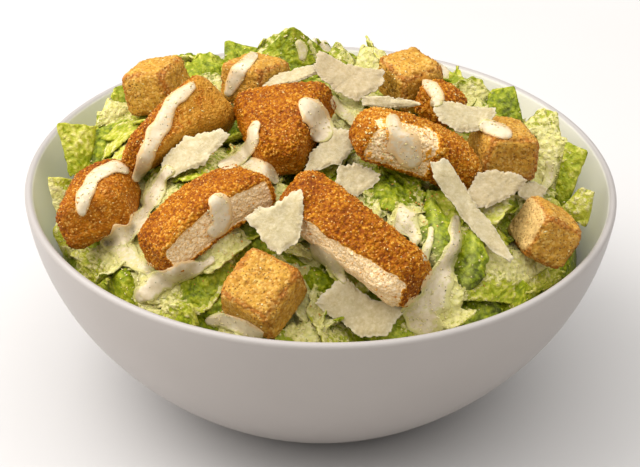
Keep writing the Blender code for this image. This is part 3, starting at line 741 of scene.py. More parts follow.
for name, c in CHICKEN_ROWS.items():
    p, quads = block_grid(c["size"], 0.42)
    co = block_shape(p, c["size"], 0.62, c["dome"], c["bend"], c["taper"], 0.05, c["seed"])
    sliced = np.zeros(len(co))
    if "cut" in c:
        # the knife's plane: everything in front of it is gone
        tilt, depth = math.radians(c["cut"][0]), c["cut"][1]
        knife = np.array([0.0, -math.cos(tilt), math.sin(tilt)])
        past = co @ knife - depth
        co = co - knife * np.clip(past, 0.0, None)[:, None]
        sliced = smooth(-0.15, 0.25, past)
    nrm = normals_of(co, quads)
    q = co + 50.0 * c["seed"]
    ragged = 0.14 * vnoise(q / 2.6, c["seed"] + 2) + 0.08 * vnoise(q / 1.1, c["seed"] + 4)
    meat = np.zeros(len(co))
    if c.get("meat"):
        # the face where the slice was cut; the crust stays round its top, bottom and ends
        inside = np.minimum(np.minimum((c.get("meat_top", 0.66) - p[:, 2]) / 0.5, (p[:, 2] + 0.98) / 0.25),
                            np.minimum((c.get("meat_to", 0.93) - p[:, 0]) / 0.22, (p[:, 0] + 0.97) / 0.22))
        side = c.get("meat_side", -0.9)
        meat = smooth(-0.05, 0.35, inside + ragged) * smooth(side + 0.18, side, p[:, 1] + 0.5 * ragged * c.get("torn", 1.0))
        meat = meat * (1.0 - c.get("crumbed", 0.0) * smooth(-0.25, 0.5, vnoise(q / 1.3, c["seed"] + 21)))
        if "cut" in c:
            half = np.array(c["size"]) / 2.0
            x, y, z = (co / half).T
            meat = smooth(-0.6, -0.68, y + 0.35 * ragged - 0.42 * np.clip(x + 0.1, 0, 1)) * smooth(0.985, 0.93, x + 0.3 * ragged) * smooth(-0.99, -0.9, x)
    skin = np.zeros(len(co))
    if c.get("skin") == "right":
        skin = smooth(c.get("skin_at", 0.1), c.get("skin_at", 0.1) + 0.45, p[:, 0] * 0.2 + nrm[:, 0] * 0.35 - nrm[:, 1] * 0.55 + 2.0 * ragged)
    elif c.get("skin") == "low":
        skin = smooth(0.25, 0.6, -p[:, 0] + 0.5 * ragged - 0.2) * smooth(0.6, 0.2, p[:, 2])
    crust = 1.0 - np.maximum(meat, 0.7 * skin)
    f1, _ = cells(q / 1.05, c["seed"])
    f2, _ = cells(q / 0.7, c["seed"] + 9)
    grit = 0.75 * np.clip(1.0 - f1 / 0.62, -0.25, 1) + 0.35 * np.clip(1.0 - f2 / 0.6, -0.25, 1)
    h = (0.45 * fbm(q / 5.0, 3, c["seed"] + 1)
         + crust * 0.85 * grit
         - 0.85 * meat + meat * (0.32 * fbm(q / np.array([4.0, 1.1, 1.1]), 3, c["seed"] + 6) + 0.2 * fbm(q / 0.9, 2, c["seed"] + 8))
         + 0.22 * (1 - crust) * fbm(q / 1.3, 2, c["seed"] + 12))
    co = co + nrm * h[:, None]
    # tip: the crumbs' relief height, shifted per piece by its light value; the crust colour paints highlights and shade
    # from it
    obj = build(name + "_breaded", place(co, c["at"], c["turn"]), quads, None,
                {"meat": meat, "skin": skin * (1 - meat), "gold": 0.5 * vnoise(q / 9.0, c["seed"] + 15) + c.get("gold", 0.0) * skin, "tip": np.clip(0.15 + c.get("light", 0.0) + grit, 0, 1)}, CHICKEN)
    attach(obj, "root")
    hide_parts(name)
    toppings[name] = obj

# ================================================================ cheese shavings
SHAVING_ROWS = {
    "shaving_left": dict(at=(-41.7, -29.3, 102.3), turn=(39, -11, -9), curl=-1.2,
                         corners=[(-3, 6.5), (9, 8.5), (12.5, 7), (7.5, 0.5), (4.5, -3.5), (-2, -5.5), (-8.5, -8), (-10.5, -5), (-9.5, 0)]),
    "shaving_back_narrow": dict(at=(-10.5, 13.4, 109.2), turn=(19, 0, 0), curl=0.8,
                                corners=[(-10, -5), (-5, 1.5), (2, 5), (8.5, 5.5), (10, 2.5), (4.5, -0.5), (-2.5, -3.5), (-8, -6)]),
    "shaving_back": dict(at=(8.9, 11.3, 110.3), turn=(28, 0, 0), curl=1.5, painted_shade=0.8,
                         corners=[(-10, 10.5), (1, 5), (11.5, 3.5), (11.5, -1.5), (9, -4.5), (2, -9), (-3, -6), (-9, -1), (-12.5, 3)]),
    "shaving_centre": dict(at=(3.3, -28.1, 103.8), turn=(31, 5, 3), curl=-1.0,
                           corners=[(-0.5, 9), (10, 8.5), (9.5, 6), (6, -0.5), (3.5, -3.5), (-2, -6), (-6.5, -7.5), (-8.5, -7), (-7, -1.5), (-4.5, 3)]),
    "shaving_centre_right": dict(at=(11.3, -40.9, 101.7), turn=(39, 6, 5), curl=1.0,
                                 corners=[(-5.5, 4), (-1.5, 5), (3.5, 4), (7.5, 1.5), (6, -1.5), (0.5, -6), (-3.5, -5), (-7, -2.5)]),
    "shaving_front_left": dict(at=(-12.2, -67.5, 101.5), turn=(51, -9, -11), curl=1.5,
                               corners=[(-11, 1.5), (-7, 4.5), (-2.5, 5), (3, 9), (6.5, 10.5), (7.5, 5), (7, -0.5), (6.5, -5), (1.5, -9), (0, -10), (-3.5, -8), (-7.5, -3)]),
    "shaving_front": dict(at=(12.4, -77.6, 77.0), turn=(54, 3, 4), curl=1.5,
                          corners=[(-4.5, 10), (-8, 7.5), (-11.5, 4), (-13.5, 1.5), (-10, -2), (-5, -4.5), (1, -9), (5.5, -8.5), (9.5, -7.5), (11.5, -3.5), (14, 0), (9, 2.5), (4, 3), (-1, 6.5)]),
    "shaving_back_right": dict(at=(46.5, -12.6, 110.5), turn=(30, 10, 6), curl=1.2,
                               corners=[(-11, 4), (-5, 4.5), (0, 4), (5.5, 3.5), (10, 3.5), (10.5, 1.5), (8, -3), (4.5, -6), (-3.5, -6.5), (-8.5, -4.5), (-10.5, -1)]),
    "shaving_right": dict(at=(56, -38, 97.9), turn=(36, 12, 9), curl=-1.2, painted_shade=0.6,
                          corners=[(-6, 4.5), (-1.5, 6), (4, 6), (8, 5), (10.5, 4), (7.5, 0), (3, -3.5), (-4, -8), (-9, -8.5), (-11.5, -5)]),
    "shaving_long": dict(at=(47.3, -48.7, 95.6), turn=(44, 10, 9), curl=2.0,
                         corners=[(-13.5, 14), (-8, 16.5), (-5, 12), (-0.5, 6), (4.5, -0.5), (9.5, -7.5), (13.5, -14.5), (12.5, -16), (7.5, -13), (2.5, -8.5), (-3, -2), (-8.5, 4.5), (-12.5, 9)]),
    "shaving_far_right": dict(at=(68.8, -23.9, 88.3), turn=(45, 22, 21), curl=0.6,
                              corners=[(-5, 1.5), (1, 4), (6, 2), (4, -1.5), (-1.5, -3.5), (-5, -2.5)]),
}


def shaving(name, c, seed):
    corners = c["corners"]
    area = sum(corners[i - 1][0] * corners[i][1] - corners[i][0] * corners[i - 1][1] for i in range(len(corners)))
    if area < 0:
        corners = corners[::-1]
    rim = []
    for i in range(len(corners)):
        a, b = np.array(corners[i], float), np.array(corners[(i + 1) % len(corners)], float)
        cuts = max(1, int(round(np.linalg.norm(b - a) / 0.38)))
        rim += [a + (b - a) * k / cuts for k in range(cuts)]
    rim = np.array(rim)
    n = len(rim)
    r = np.linalg.norm(rim, axis=1)
    probe = np.concatenate([rim, np.zeros((n, 1))], 1) + 33.0 * seed
    chip = 0.35 * np.sin(12.9 * rim[:, 0] + 7.3 * rim[:, 1]) * 0.4
    rough = 0.5 * vnoise(probe / 0.6, seed) + 0.4 * vnoise(probe / 2.4, seed + 1)
    rim = rim * (1.0 + (chip + rough) / np.maximum(r, 1.5))[:, None]
    reach = np.abs(np.array(c["corners"])[:, 0]).max()
    shares = np.array([1.0, 0.965, 0.92, 0.86, 0.79, 0.71, 0.62, 0.52, 0.41, 0.29, 0.16])
    flat = (rim[None] * shares[:, None, None]).reshape(-1, 2)
    share = np.repeat(shares, n)
    flat = np.vstack([flat, [0.0, 0.0]])
    share = np.append(share, 0.0)
    lift = c["curl"] * ((flat[:, 0] / reach) ** 2 - 0.3)
    probe = np.concatenate([flat, np.zeros((len(flat), 1))], 1) + 33.0 * seed
    lift = lift + 0.5 * vnoise(probe / 5.5, seed + 2) * smooth(0.2, 1.0, share) + 0.16 * fbm(probe / 1.6, 2, seed + 3)
    lift = lift + 0.55 * smooth(0.7, 1.0, share) * vnoise(probe / 2.6, seed + 9)
    thick = 0.62 * (1.0 - 0.72 * smooth(0.78, 1.0, share)) + 0.1 * vnoise(probe / 1.2, seed + 4)
    top = np.column_stack([flat, lift + thick])
    low = np.column_stack([flat, lift - thick * 0.9])
    m = len(flat)
    quads, tris = [], []
    i = np.arange(n)
    j = (i + 1) % n
    for s in range(len(shares) - 1):
        a, b = s * n, (s + 1) * n
        quads.append(np.stack([a + i, a + j, b + j, b + i], 1))
        quads.append(np.stack([m + a + j, m + a + i, m + b + i, m + b + j], 1))
    a = (len(shares) - 1) * n
    tris.append(np.stack([a + i, a + j, np.full(n, m - 1)], 1))
    tris.append(np.stack([m + a + j, m + a + i, np.full(n, 2 * m - 1)], 1))
    quads.append(np.stack([j, i, m + i, m + j], 1))
    co = place(np.vstack([top, low]), c["at"], c["turn"])
    obj = build((name or "shaving_back_lip") + "_cut", co, np.vstack(quads), np.vstack(tris), {"rind": np.tile(smooth(0.84, 1.0, share), 2), "painted_shade": np.full(len(co), c.get("painted_shade", 0.0))}, CHEESE)
    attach(obj, "root")
    if name:
        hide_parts(name)
    toppings[name or "shaving_back_lip"] = obj


for number, (name, c) in enumerate(SHAVING_ROWS.items()):
    shaving(name, c, 60 + number)

shaving(None, dict(at=V(23.3, 25.7, -7), turn=(52, 0, -3), curl=0.6,
                   corners=[(-10, 1.6), (-3, 2.2), (4, 1.7), (9, 0.6), (9.5, -0.4), (4, -1.5), (-3, -2.0), (-9.5, -1.2)]), 75)

# ================================================================ heap of lettuce
HEAP_EDGE_RING, INNER_RINGS, HEAP_RISE, HEAP_ROUND = 2, 8, 45.0, 5.0
LEAF_TIPS = [
    (-10.5, 45.0, 113.5, 1.7), (-32.5, 50.0, 104.5, 1.5), (5.0, 52.0, 103.5, 1.2), (18.0, 52.0, 102.5, 1.2),
    (-41.5, 42.0, 100.0, 1.2), (63.0, 26.0, 97.5, 1.3), (71.0, 6.0, 92.0, 1.7), (75.0, -18.0, 85.5, 1.7),
    (-74.0, 14.0, 92.5, 1.7), (-66.0, 24.0, 93.0, 1.4), (-78.0, -18.0, 83.5, 1.7), (-62.0, -57.0, 83.0, 1.4),
    (-40.0, -74.0, 80.0, 1.4), (42.0, -74.0, 81.0, 1.4), (64.0, -57.0, 81.5, 1.4),
    (40.0, 62.0, 95.0, 1.4), (-5.0, 70.0, 92.0, 1.4), (-52.0, 56.0, 93.0, 1.4),
]


def inner_ring(i, steps):
    return 1.0 - 0.94 * (i / steps) ** 1.25


def inside_wall(t, gap):
    e = 0.002
    r0, z0 = inner_point(max(0.05, t - e))
    r1, z1 = inner_point(min(1.0, t + e))
    length = math.hypot(r1 - r0, z1 - z0)
    r, z = inner_point(t)
    return r - (z1 - z0) / length * gap, z + (r1 - r0) / length * gap


WALL_Z, WALL_R = zip(*sorted((inner_point(t)[1], inner_point(t)[0]) for t in np.linspace(0.06, 1.0, 60)))
WALL_Z, WALL_R = np.array(WALL_Z + (RIM + 40.0,)), np.array(WALL_R + (WALL_R[-1],))
edge_r, edge_z = inside_wall(inner_ring(HEAP_EDGE_RING, INNER_RINGS), 0.5)
GRID = 1.0
gx = np.arange(-96.0, 96.5, GRID)
GX, GY = np.meshgrid(gx, gx, indexing="ij")


def crown(x, y):
    r = np.hypot(x, y)
    h = edge_z + HEAP_RISE * (1.0 - np.clip(r / edge_r, 0, 1) ** HEAP_ROUND)
    for tx, ty, tz, steep in LEAF_TIPS:
        h = np.maximum(h, tz - steep * np.hypot(x - tx, y - ty))
    return h


def topping_floor():
    """Lowest height of any topping over each grid point, grown by a few mm."""
    low = np.full(GX.shape, 999.0)
    for obj in toppings.values():
        co = np.zeros(len(obj.data.vertices) * 3, np.float32)
        obj.data.vertices.foreach_get("co", co)
        co = co.reshape(-1, 3)[::3] / MM
        i = np.clip(np.round((co[:, 0] + 96) / GRID).astype(int), 0, len(gx) - 1)
        j = np.clip(np.round((co[:, 1] + 96) / GRID).astype(int), 0, len(gx) - 1)
        np.minimum.at(low, (i, j), co[:, 2])
    for _ in range(4):
        grown = low.copy()
        grown[1:] = np.minimum(grown[1:], low[:-1])
        grown[:-1] = np.minimum(grown[:-1], low[1:])
        grown[:, 1:] = np.minimum(grown[:, 1:], low[:, :-1])
        grown[:, :-1] = np.minimum(grown[:, :-1], low[:, 1:])
        low = grown
    return low


HEAP = np.minimum(crown(GX, GY), topping_floor() - 0.5)
for _ in range(2):
    HEAP[1:-1, 1:-1] = (HEAP[1:-1, 1:-1] * 2 + HEAP[2:, 1:-1] + HEAP[:-2, 1:-1] + HEAP[1:-1, 2:] + HEAP[1:-1, :-2]) / 6.0


def heap_at(x, y):
    u = np.clip((np.asarray(x, float) + 96) / GRID, 0, len(gx) - 1.001)
    v = np.clip((np.asarray(y, float) + 96) / GRID, 0, len(gx) - 1.001)
    i, j = u.astype(int), v.astype(int)
    a, b = u - i, v - j
    return (HEAP[i, j] * (1 - a) * (1 - b) + HEAP[i + 1, j] * a * (1 - b)
            + HEAP[i, j + 1] * (1 - a) * b + HEAP[i + 1, j + 1] * a * b)


# core: the leaves deep in the heap, smaller than the heap all round, painted a darker green as painted shade where they
# show between the leaves
CORE_DOWN = 4.2
RS, SS = 58, 168
co, tone = [], []
for k in range(1, RS + 1):
    r = (edge_r - 2.0) * k / RS
    a = TAU * np.arange(SS) / SS
    x, y = r * np.cos(a), r * np.sin(a)
    q = np.stack([x, y, np.zeros(SS)], 1)
    h = heap_at(x, y) - CORE_DOWN + 1.6 * fbm(q / 7.0, 2, 3) + 1.5 * (0.5 - cells(q / 5.0, 4)[0]) + 0.7 * fbm(q / 1.8, 2, 5)
    h = np.maximum(h, edge_z - 2.0) if k < RS else np.full(SS, edge_z - 2.0)
    co.append(np.stack([x, y, h], 1))
    # darker tone: painted shade for the gaps between leaves
    tone.append(0.62 + 0.14 * vnoise(q / 9.0, 6))
for i in range(HEAP_EDGE_RING + 1, INNER_RINGS + 1):
    r, z = inside_wall(inner_ring(i, INNER_RINGS), 2.4)
    a = TAU * np.arange(SS) / SS
    co.append(np.stack([r * np.cos(a), r * np.sin(a), np.full(SS, z)], 1))
    tone.append(np.full(SS, 0.5))
co, tone = np.vstack(co), np.concatenate(tone)
rings = len(co) // SS
k, s = np.meshgrid(np.arange(rings - 1), np.arange(SS), indexing="ij")
k, s = k.ravel(), s.ravel()
m = (s + 1) % SS
quads = np.stack([k * SS + s, (k + 1) * SS + s, (k + 1) * SS + m, k * SS + m], 1)
co = np.vstack([co, [0, 0, co[:SS, 2].mean()], [0, 0, co[(rings - 1) * SS, 2]]])
tone = np.append(tone, (tone[0], 0.5))
s = np.arange(SS)
m = (s + 1) % SS
tris = np.vstack([np.stack([np.full(SS, len(co) - 2), s, m], 1),
                  np.stack([np.full(SS, len(co) - 1), (rings - 1) * SS + m, (rings - 1) * SS + s], 1)])
core = build("lettuce_core", co, quads, tris, {"tone": np.clip(tone, 0, 1), "coat": np.full(len(co), 0.22),
                                               "vein": np.zeros(len(co))}, LETTUCE)

# ---------------------------------------------------------------- leaves
heap_tree = BVHTree.FromPolygons([v.co / MM for v in NODES["lettuce"].data.vertices],
                                 [tuple(p.vertices) for p in NODES["lettuce"].data.polygons])


def S(u, v, toward=0.0):
    """A point on the heap as the viewer sees it at (u, v) on the facing plane, brought toward the viewer."""
    p = sheet(u, v)
    d = p - EYE
    d /= np.linalg.norm(d)
    hit = heap_tree.ray_cast(Vector(EYE), Vector(d))
    if hit[0] is not None:
        return np.array(hit[0]) - d * toward
    # beside the heap: the height of the heap's edge
    return EYE + d * ((edge_z + 10.0 - EYE[2]) / d[2]) - d * toward


def P(x, y, z):
    return np.array([x, y, z], float)


# where dressing has run over the leaves: place on the facing plane, reach and amount
COATED = [
    (-61.3, -14.0, 0, 26, 0.55), (-67.9, -24.4, 0, 34, 0.4), (-57.4, -37.8, 0, 26, 0.5), (-53.0, -5.4, 0, 20, 0.35), (-21.5, 1.4, 0, 30, 0.45),
    (-35.6, -22.0, 0, 22, 0.5), (-6.6, -26.6, 0, 24, 0.5), (29.9, -14.6, 0, 22, 0.6), (39.9, -41.0, 0, 28, 0.6), (35.5, -25.8, 0, 14, 0.5),
    (7.7, 22.3, 0, 26, 0.45), (-8.0, 44.8, 0, 22, 0.3), (50.1, 27.9, 0, 22, 0.35), (75.8, 17.6, 0, 22, 0.15), (79.5, 5.7, 0, 20, 0.15),
    (10.8, -12.6, 0, 26, 0.35), (69.9, -27.5, 0, 26, 0.2), (-71.5, 22.2, 0, 20, 0.3), (-29.3, -48.4, 0, 24, 0.4), (17.6, 40.2, 0, 30, 0.4),
    (67.7, -3.0, 0, 18, 0.4), (-28.1, 29.1, 0, 22, 0.3), (-88.6, -9.5, 0, 18, 0.25), (5.8, -51.8, 0, 36, 0.3), (-74.6, -32.3, 0, 30, 0.15), (61.5, -32.0, 0, 30, 0.1), (46.1, -27.9, 0, 26, 0.15), (-6.2, -48.0, 0, 26, 0.3),
]
leaves = [Bag(), Bag(), Bag()]


def plane_uv(co):
    """Where points lie on the facing plane as the viewer sees them."""
    d = co - EYE
    depth = -(d @ back)
    f = DISTANCE / depth
    return (d @ right0) * f, (d @ up0) * f + 0.0


def leaf(points, widths, tone, coat, seed, face=None, roll=0.0, ruffle=1.0, cup=0.0, rib=0.4, crinkle=0.6, cell=0.68, corner=0.14,
         thick=0.75, frill=0.5):
    pts = np.array(points, float)
    ctrl = 2.0 * pts[1] - 0.5 * (pts[0] + pts[2])
    length = np.linalg.norm(pts[1] - pts[0]) + np.linalg.norm(pts[2] - pts[1])
    ns = max(8, int(length / cell))
    nt = max(8, int(max(widths) / cell))
    s, t = np.meshgrid(np.linspace(0, 1, ns + 1), np.linspace(-1, 1, nt + 1), indexing="ij")
    s, t = s.ravel(), t.ravel()
    w0, w1, w2 = widths
    hw = 0.5 * (w0 * (1 - s) * (1 - 2 * s) + 4 * w1 * s * (1 - s) + w2 * s * (2 * s - 1))
    hw = np.maximum(hw, 0.8)
    # ragged outline, rounded corners
    hw = hw * (1.0 + 0.10 * vnoise(np.stack([s * length / 3.2, np.sign(t) * 4.0, t * 0], 1) + seed, seed)
               + 0.06 * vnoise(np.stack([s * length / 1.1, np.sign(t) * 4.0, t * 0], 1) + seed, seed + 1))
    sp = s + (0.5 - s) * 2.0 * corner * np.abs(t) ** 3.0
    end = smooth(0.75, 1.0, s)
    sp = sp + end * (1.0 * vnoise(np.stack([t * hw / 2.6, s * 0, s * 0], 1) + seed, seed + 2)
                     + 0.5 * vnoise(np.stack([t * hw / 1.0, s * 0, s * 0], 1) + seed, seed + 3)) / length
    c = ((1 - sp) ** 2)[:, None] * pts[0] + (2 * sp * (1 - sp))[:, None] * ctrl + (sp ** 2)[:, None] * pts[2]
    tan = (2 * (1 - sp))[:, None] * (ctrl - pts[0]) + (2 * sp)[:, None] * (pts[2] - ctrl)
    tan /= np.linalg.norm(tan, axis=1)[:, None]
    n0 = np.array(face if face is not None else back * 0.85 + np.array([0, 0, 0.45]), float)
    n0 = n0 / np.linalg.norm(n0)
    side = np.cross(tan, n0)
    side /= np.linalg.norm(side, axis=1)[:, None]
    nrm = np.cross(side, tan)
    if roll:
        ca, sa = math.cos(math.radians(roll)), math.sin(math.radians(roll))
        side, nrm = side * ca + nrm * sa, nrm * ca - side * sa
    rib_line = np.exp(-(t * hw / (0.55 + 1.3 * (1 - s))) ** 2) * rib
    base = c + side * (t * hw)[:, None] + nrm * (cup * np.abs(t) ** 2)[:, None]
    finish_leaf(base, side, tan, nrm, n0, s, t, hw, length, ns, nt, rib_line, tone, coat, seed, ruffle, crinkle, thick, frill)


def patch(corners, seed, tone=0.5, coat=0.2, bulge=1.0, fold=0.0, ruffle=0.5, crinkle=0.6, frill=0.4, cell=0.62, thick=0.8, corner=0.16):
    """A torn piece of leaf between its corners: base left, base right, tip right, tip left."""
    ca, cb, cc, cd = [np.array(p, float) for p in corners]
    length = 0.5 * (np.linalg.norm(cd - ca) + np.linalg.norm(cc - cb))
    wide = 0.5 * (np.linalg.norm(cb - ca) + np.linalg.norm(cc - cd))
    ns, nt = max(8, int(length / cell)), max(8, int(wide / cell))
    s, t = np.meshgrid(np.linspace(0, 1, ns + 1), np.linspace(-1, 1, nt + 1), indexing="ij")
    s, t = s.ravel(), t.ravel()
    # rounded corners
    q = np.stack([2 * s - 1, t], 1)
    core = np.clip(q, -(1 - corner), 1 - corner)
    d = q - core
    far = np.linalg.norm(d, axis=1)
    q = np.where(far[:, None] > 1e-9, core + d / np.maximum(far, 1e-9)[:, None] * np.abs(d).max(1)[:, None], q)
    sp, f = (q[:, 0] + 1) / 2, (q[:, 1] + 1) / 2
    c = ((1 - sp) * (1 - f))[:, None] * ca + ((1 - sp) * f)[:, None] * cb + (sp * f)[:, None] * cc + (sp * (1 - f))[:, None] * cd
    tan = (1 - f)[:, None] * (cd - ca) + f[:, None] * (cc - cb)
    side = (1 - sp)[:, None] * (cb - ca) + sp[:, None] * (cc - cd)
    tan /= np.linalg.norm(tan, axis=1)[:, None]
    side /= np.linalg.norm(side, axis=1)[:, None]
    nrm = np.cross(side, tan)
    nrm /= np.linalg.norm(nrm, axis=1)[:, None]
    n0 = back
    if (nrm @ n0).mean() < 0:
        nrm = -nrm
    dome = (1 - (2 * s - 1) ** 2) * (1 - t ** 2)
    ridge = 1.0 - np.abs(s + f - 1.0)
    base = c + nrm * (bulge * dome + fold * ridge)[:, None]
    finish_leaf(base, side, tan, nrm, n0, s, t, np.full(len(s), wide / 2), length, ns, nt, np.zeros(len(s)), tone, coat, seed,
                ruffle, crinkle, thick, frill)


def finish_leaf(base, side, tan, nrm, n0, s, t, hw, length, ns, nt, rib_line, tone, coat, seed, ruffle, crinkle, thick, frill):
    along = np.stack([s * length, t * hw, np.zeros(len(s))], 1) + 21.0 * seed
    e_side = np.abs(t) ** 2.6
    e_end = smooth(0.45, 1.0, s) ** 1.6
    edge = np.maximum(e_side, e_end)
    wave = vnoise(along / 5.6, seed + 4) * 1.25 + 0.55 * vnoise(along / 2.9, seed + 5)
    f1, _ = cells(along / 2.7, seed + 6)
    f2, _ = cells(along / np.array([2.0, 1.15, 1.0]), seed + 16)
    f3, _ = cells(along / 0.95, seed + 26)
    phase = (s * length - np.abs(t) * hw * 0.9 + 0.8 * vnoise(along / 3.0, seed + 7)) / 3.6
    branch = np.exp(-((phase - np.round(phase)) / 0.13) ** 2) * (1 - 0.5 * np.abs(t))
    tiny = np.exp(-(np.abs(vnoise(along / 2.0, seed + 8)) / 0.10) ** 2) * 0.45
    vein = np.clip(np.maximum(np.maximum(rib_line * 1.5, branch * 0.6), tiny), 0, 1)
    bumps = (0.5 - f1) * 1.0 + (0.5 - f2) * 0.75 + (0.5 - f3) * 0.3
    lift = (ruffle * edge * wave + crinkle * bumps + 0.5 * crinkle * fbm(along / 5.0, 2, seed + 19)
            + 0.2 * fbm(along / 1.2, 2, seed + 9) + 0.5 * rib_line - 0.28 * branch)
    out = base + nrm * lift[:, None]
    out = out + side * (frill * edge * vnoise(along / 1.9, seed + 10))[:, None] + tan * (frill * edge * vnoise(along / 1.6, seed + 11))[:, None]
    # inside the bowl
    r = np.hypot(out[:, 0], out[:, 1])
    limit = np.interp(out[:, 2], WALL_Z, WALL_R) - 1.2
    soft = limit - 6.0
    pressed = np.where(r > soft, soft + 6.0 * (1.0 - np.exp(-(r - soft) / 6.0)), r)
    keep = pressed / np.maximum(r, 1.0)
    out[:, 0] *= keep
    out[:, 1] *= keep
    out[:, 2] = np.minimum(out[:, 2], 119.4)
    w = nt + 1
    i, j = np.meshgrid(np.arange(ns), np.arange(nt), indexing="ij")
    a = (i * w + j).ravel()
    quads = np.stack([a, a + w, a + w + 1, a + 1], 1)
    n = normals_of(out, quads)
    if (n @ n0).mean() < 0:
        quads = quads[:, ::-1]
        n = -n
    thin = thick * (0.75 + 0.8 * rib_line)[:, None]
    low = out - n * thin
    m = len(out)
    ring = np.concatenate([np.arange(nt), np.arange(ns) * w + nt, m - 1 - np.arange(nt), (ns - np.arange(ns)) * w])
    nxt = np.roll(ring, -1)
    wall = np.stack([ring, nxt, nxt + m, ring + m], 1)
    # the wall faces outward whichever way the top faces
    mid = (out[ring] + out[nxt] + low[ring] + low[nxt]) / 4.0
    wn = np.cross(out[nxt] - out[ring], low[ring] - out[ring])
    if (wn * (mid - out.mean(0))).sum() < 0:
        wall = wall[:, ::-1]
    all_quads = np.vstack([quads, quads[:, ::-1] + m, wall])
    if np.ndim(tone) == 0:
        tone = (tone, tone)
    tip = np.clip(bumps * 1.1, -0.5, 0.5)
    # painted light: raised bumps (tip) get a paler green as painted highlights, and the hollows a darker one as painted
    # shade
    ton = tone[0] + (tone[1] - tone[0]) * smooth(0.1, 0.9, s) + 0.07 * vnoise(along / 6.0, seed + 12) - 0.34 * tip
    if np.ndim(coat) == 0:
        coat = (coat, coat)
    cot = coat[0] + (coat[1] - coat[0]) * smooth(0.1, 0.9, s) + 0.12 * tip
    u, v = plane_uv(out)
    for cu, cv, _, reach, amount in COATED:
        cot = np.maximum(cot, cot + amount * np.exp(-((u - cu) ** 2 + (v - cv) ** 2) / (0.34 * reach) ** 2 / 1.2))
    bag = min(leaves, key=lambda b: b.faces())
    bag.add(np.vstack([out, low]), all_quads, None, tone=np.clip(np.tile(ton, 2), 0, 1),
            coat=np.clip(np.concatenate([cot, cot * 0.5]), 0, 1.2), vein=np.tile(vein, 2))


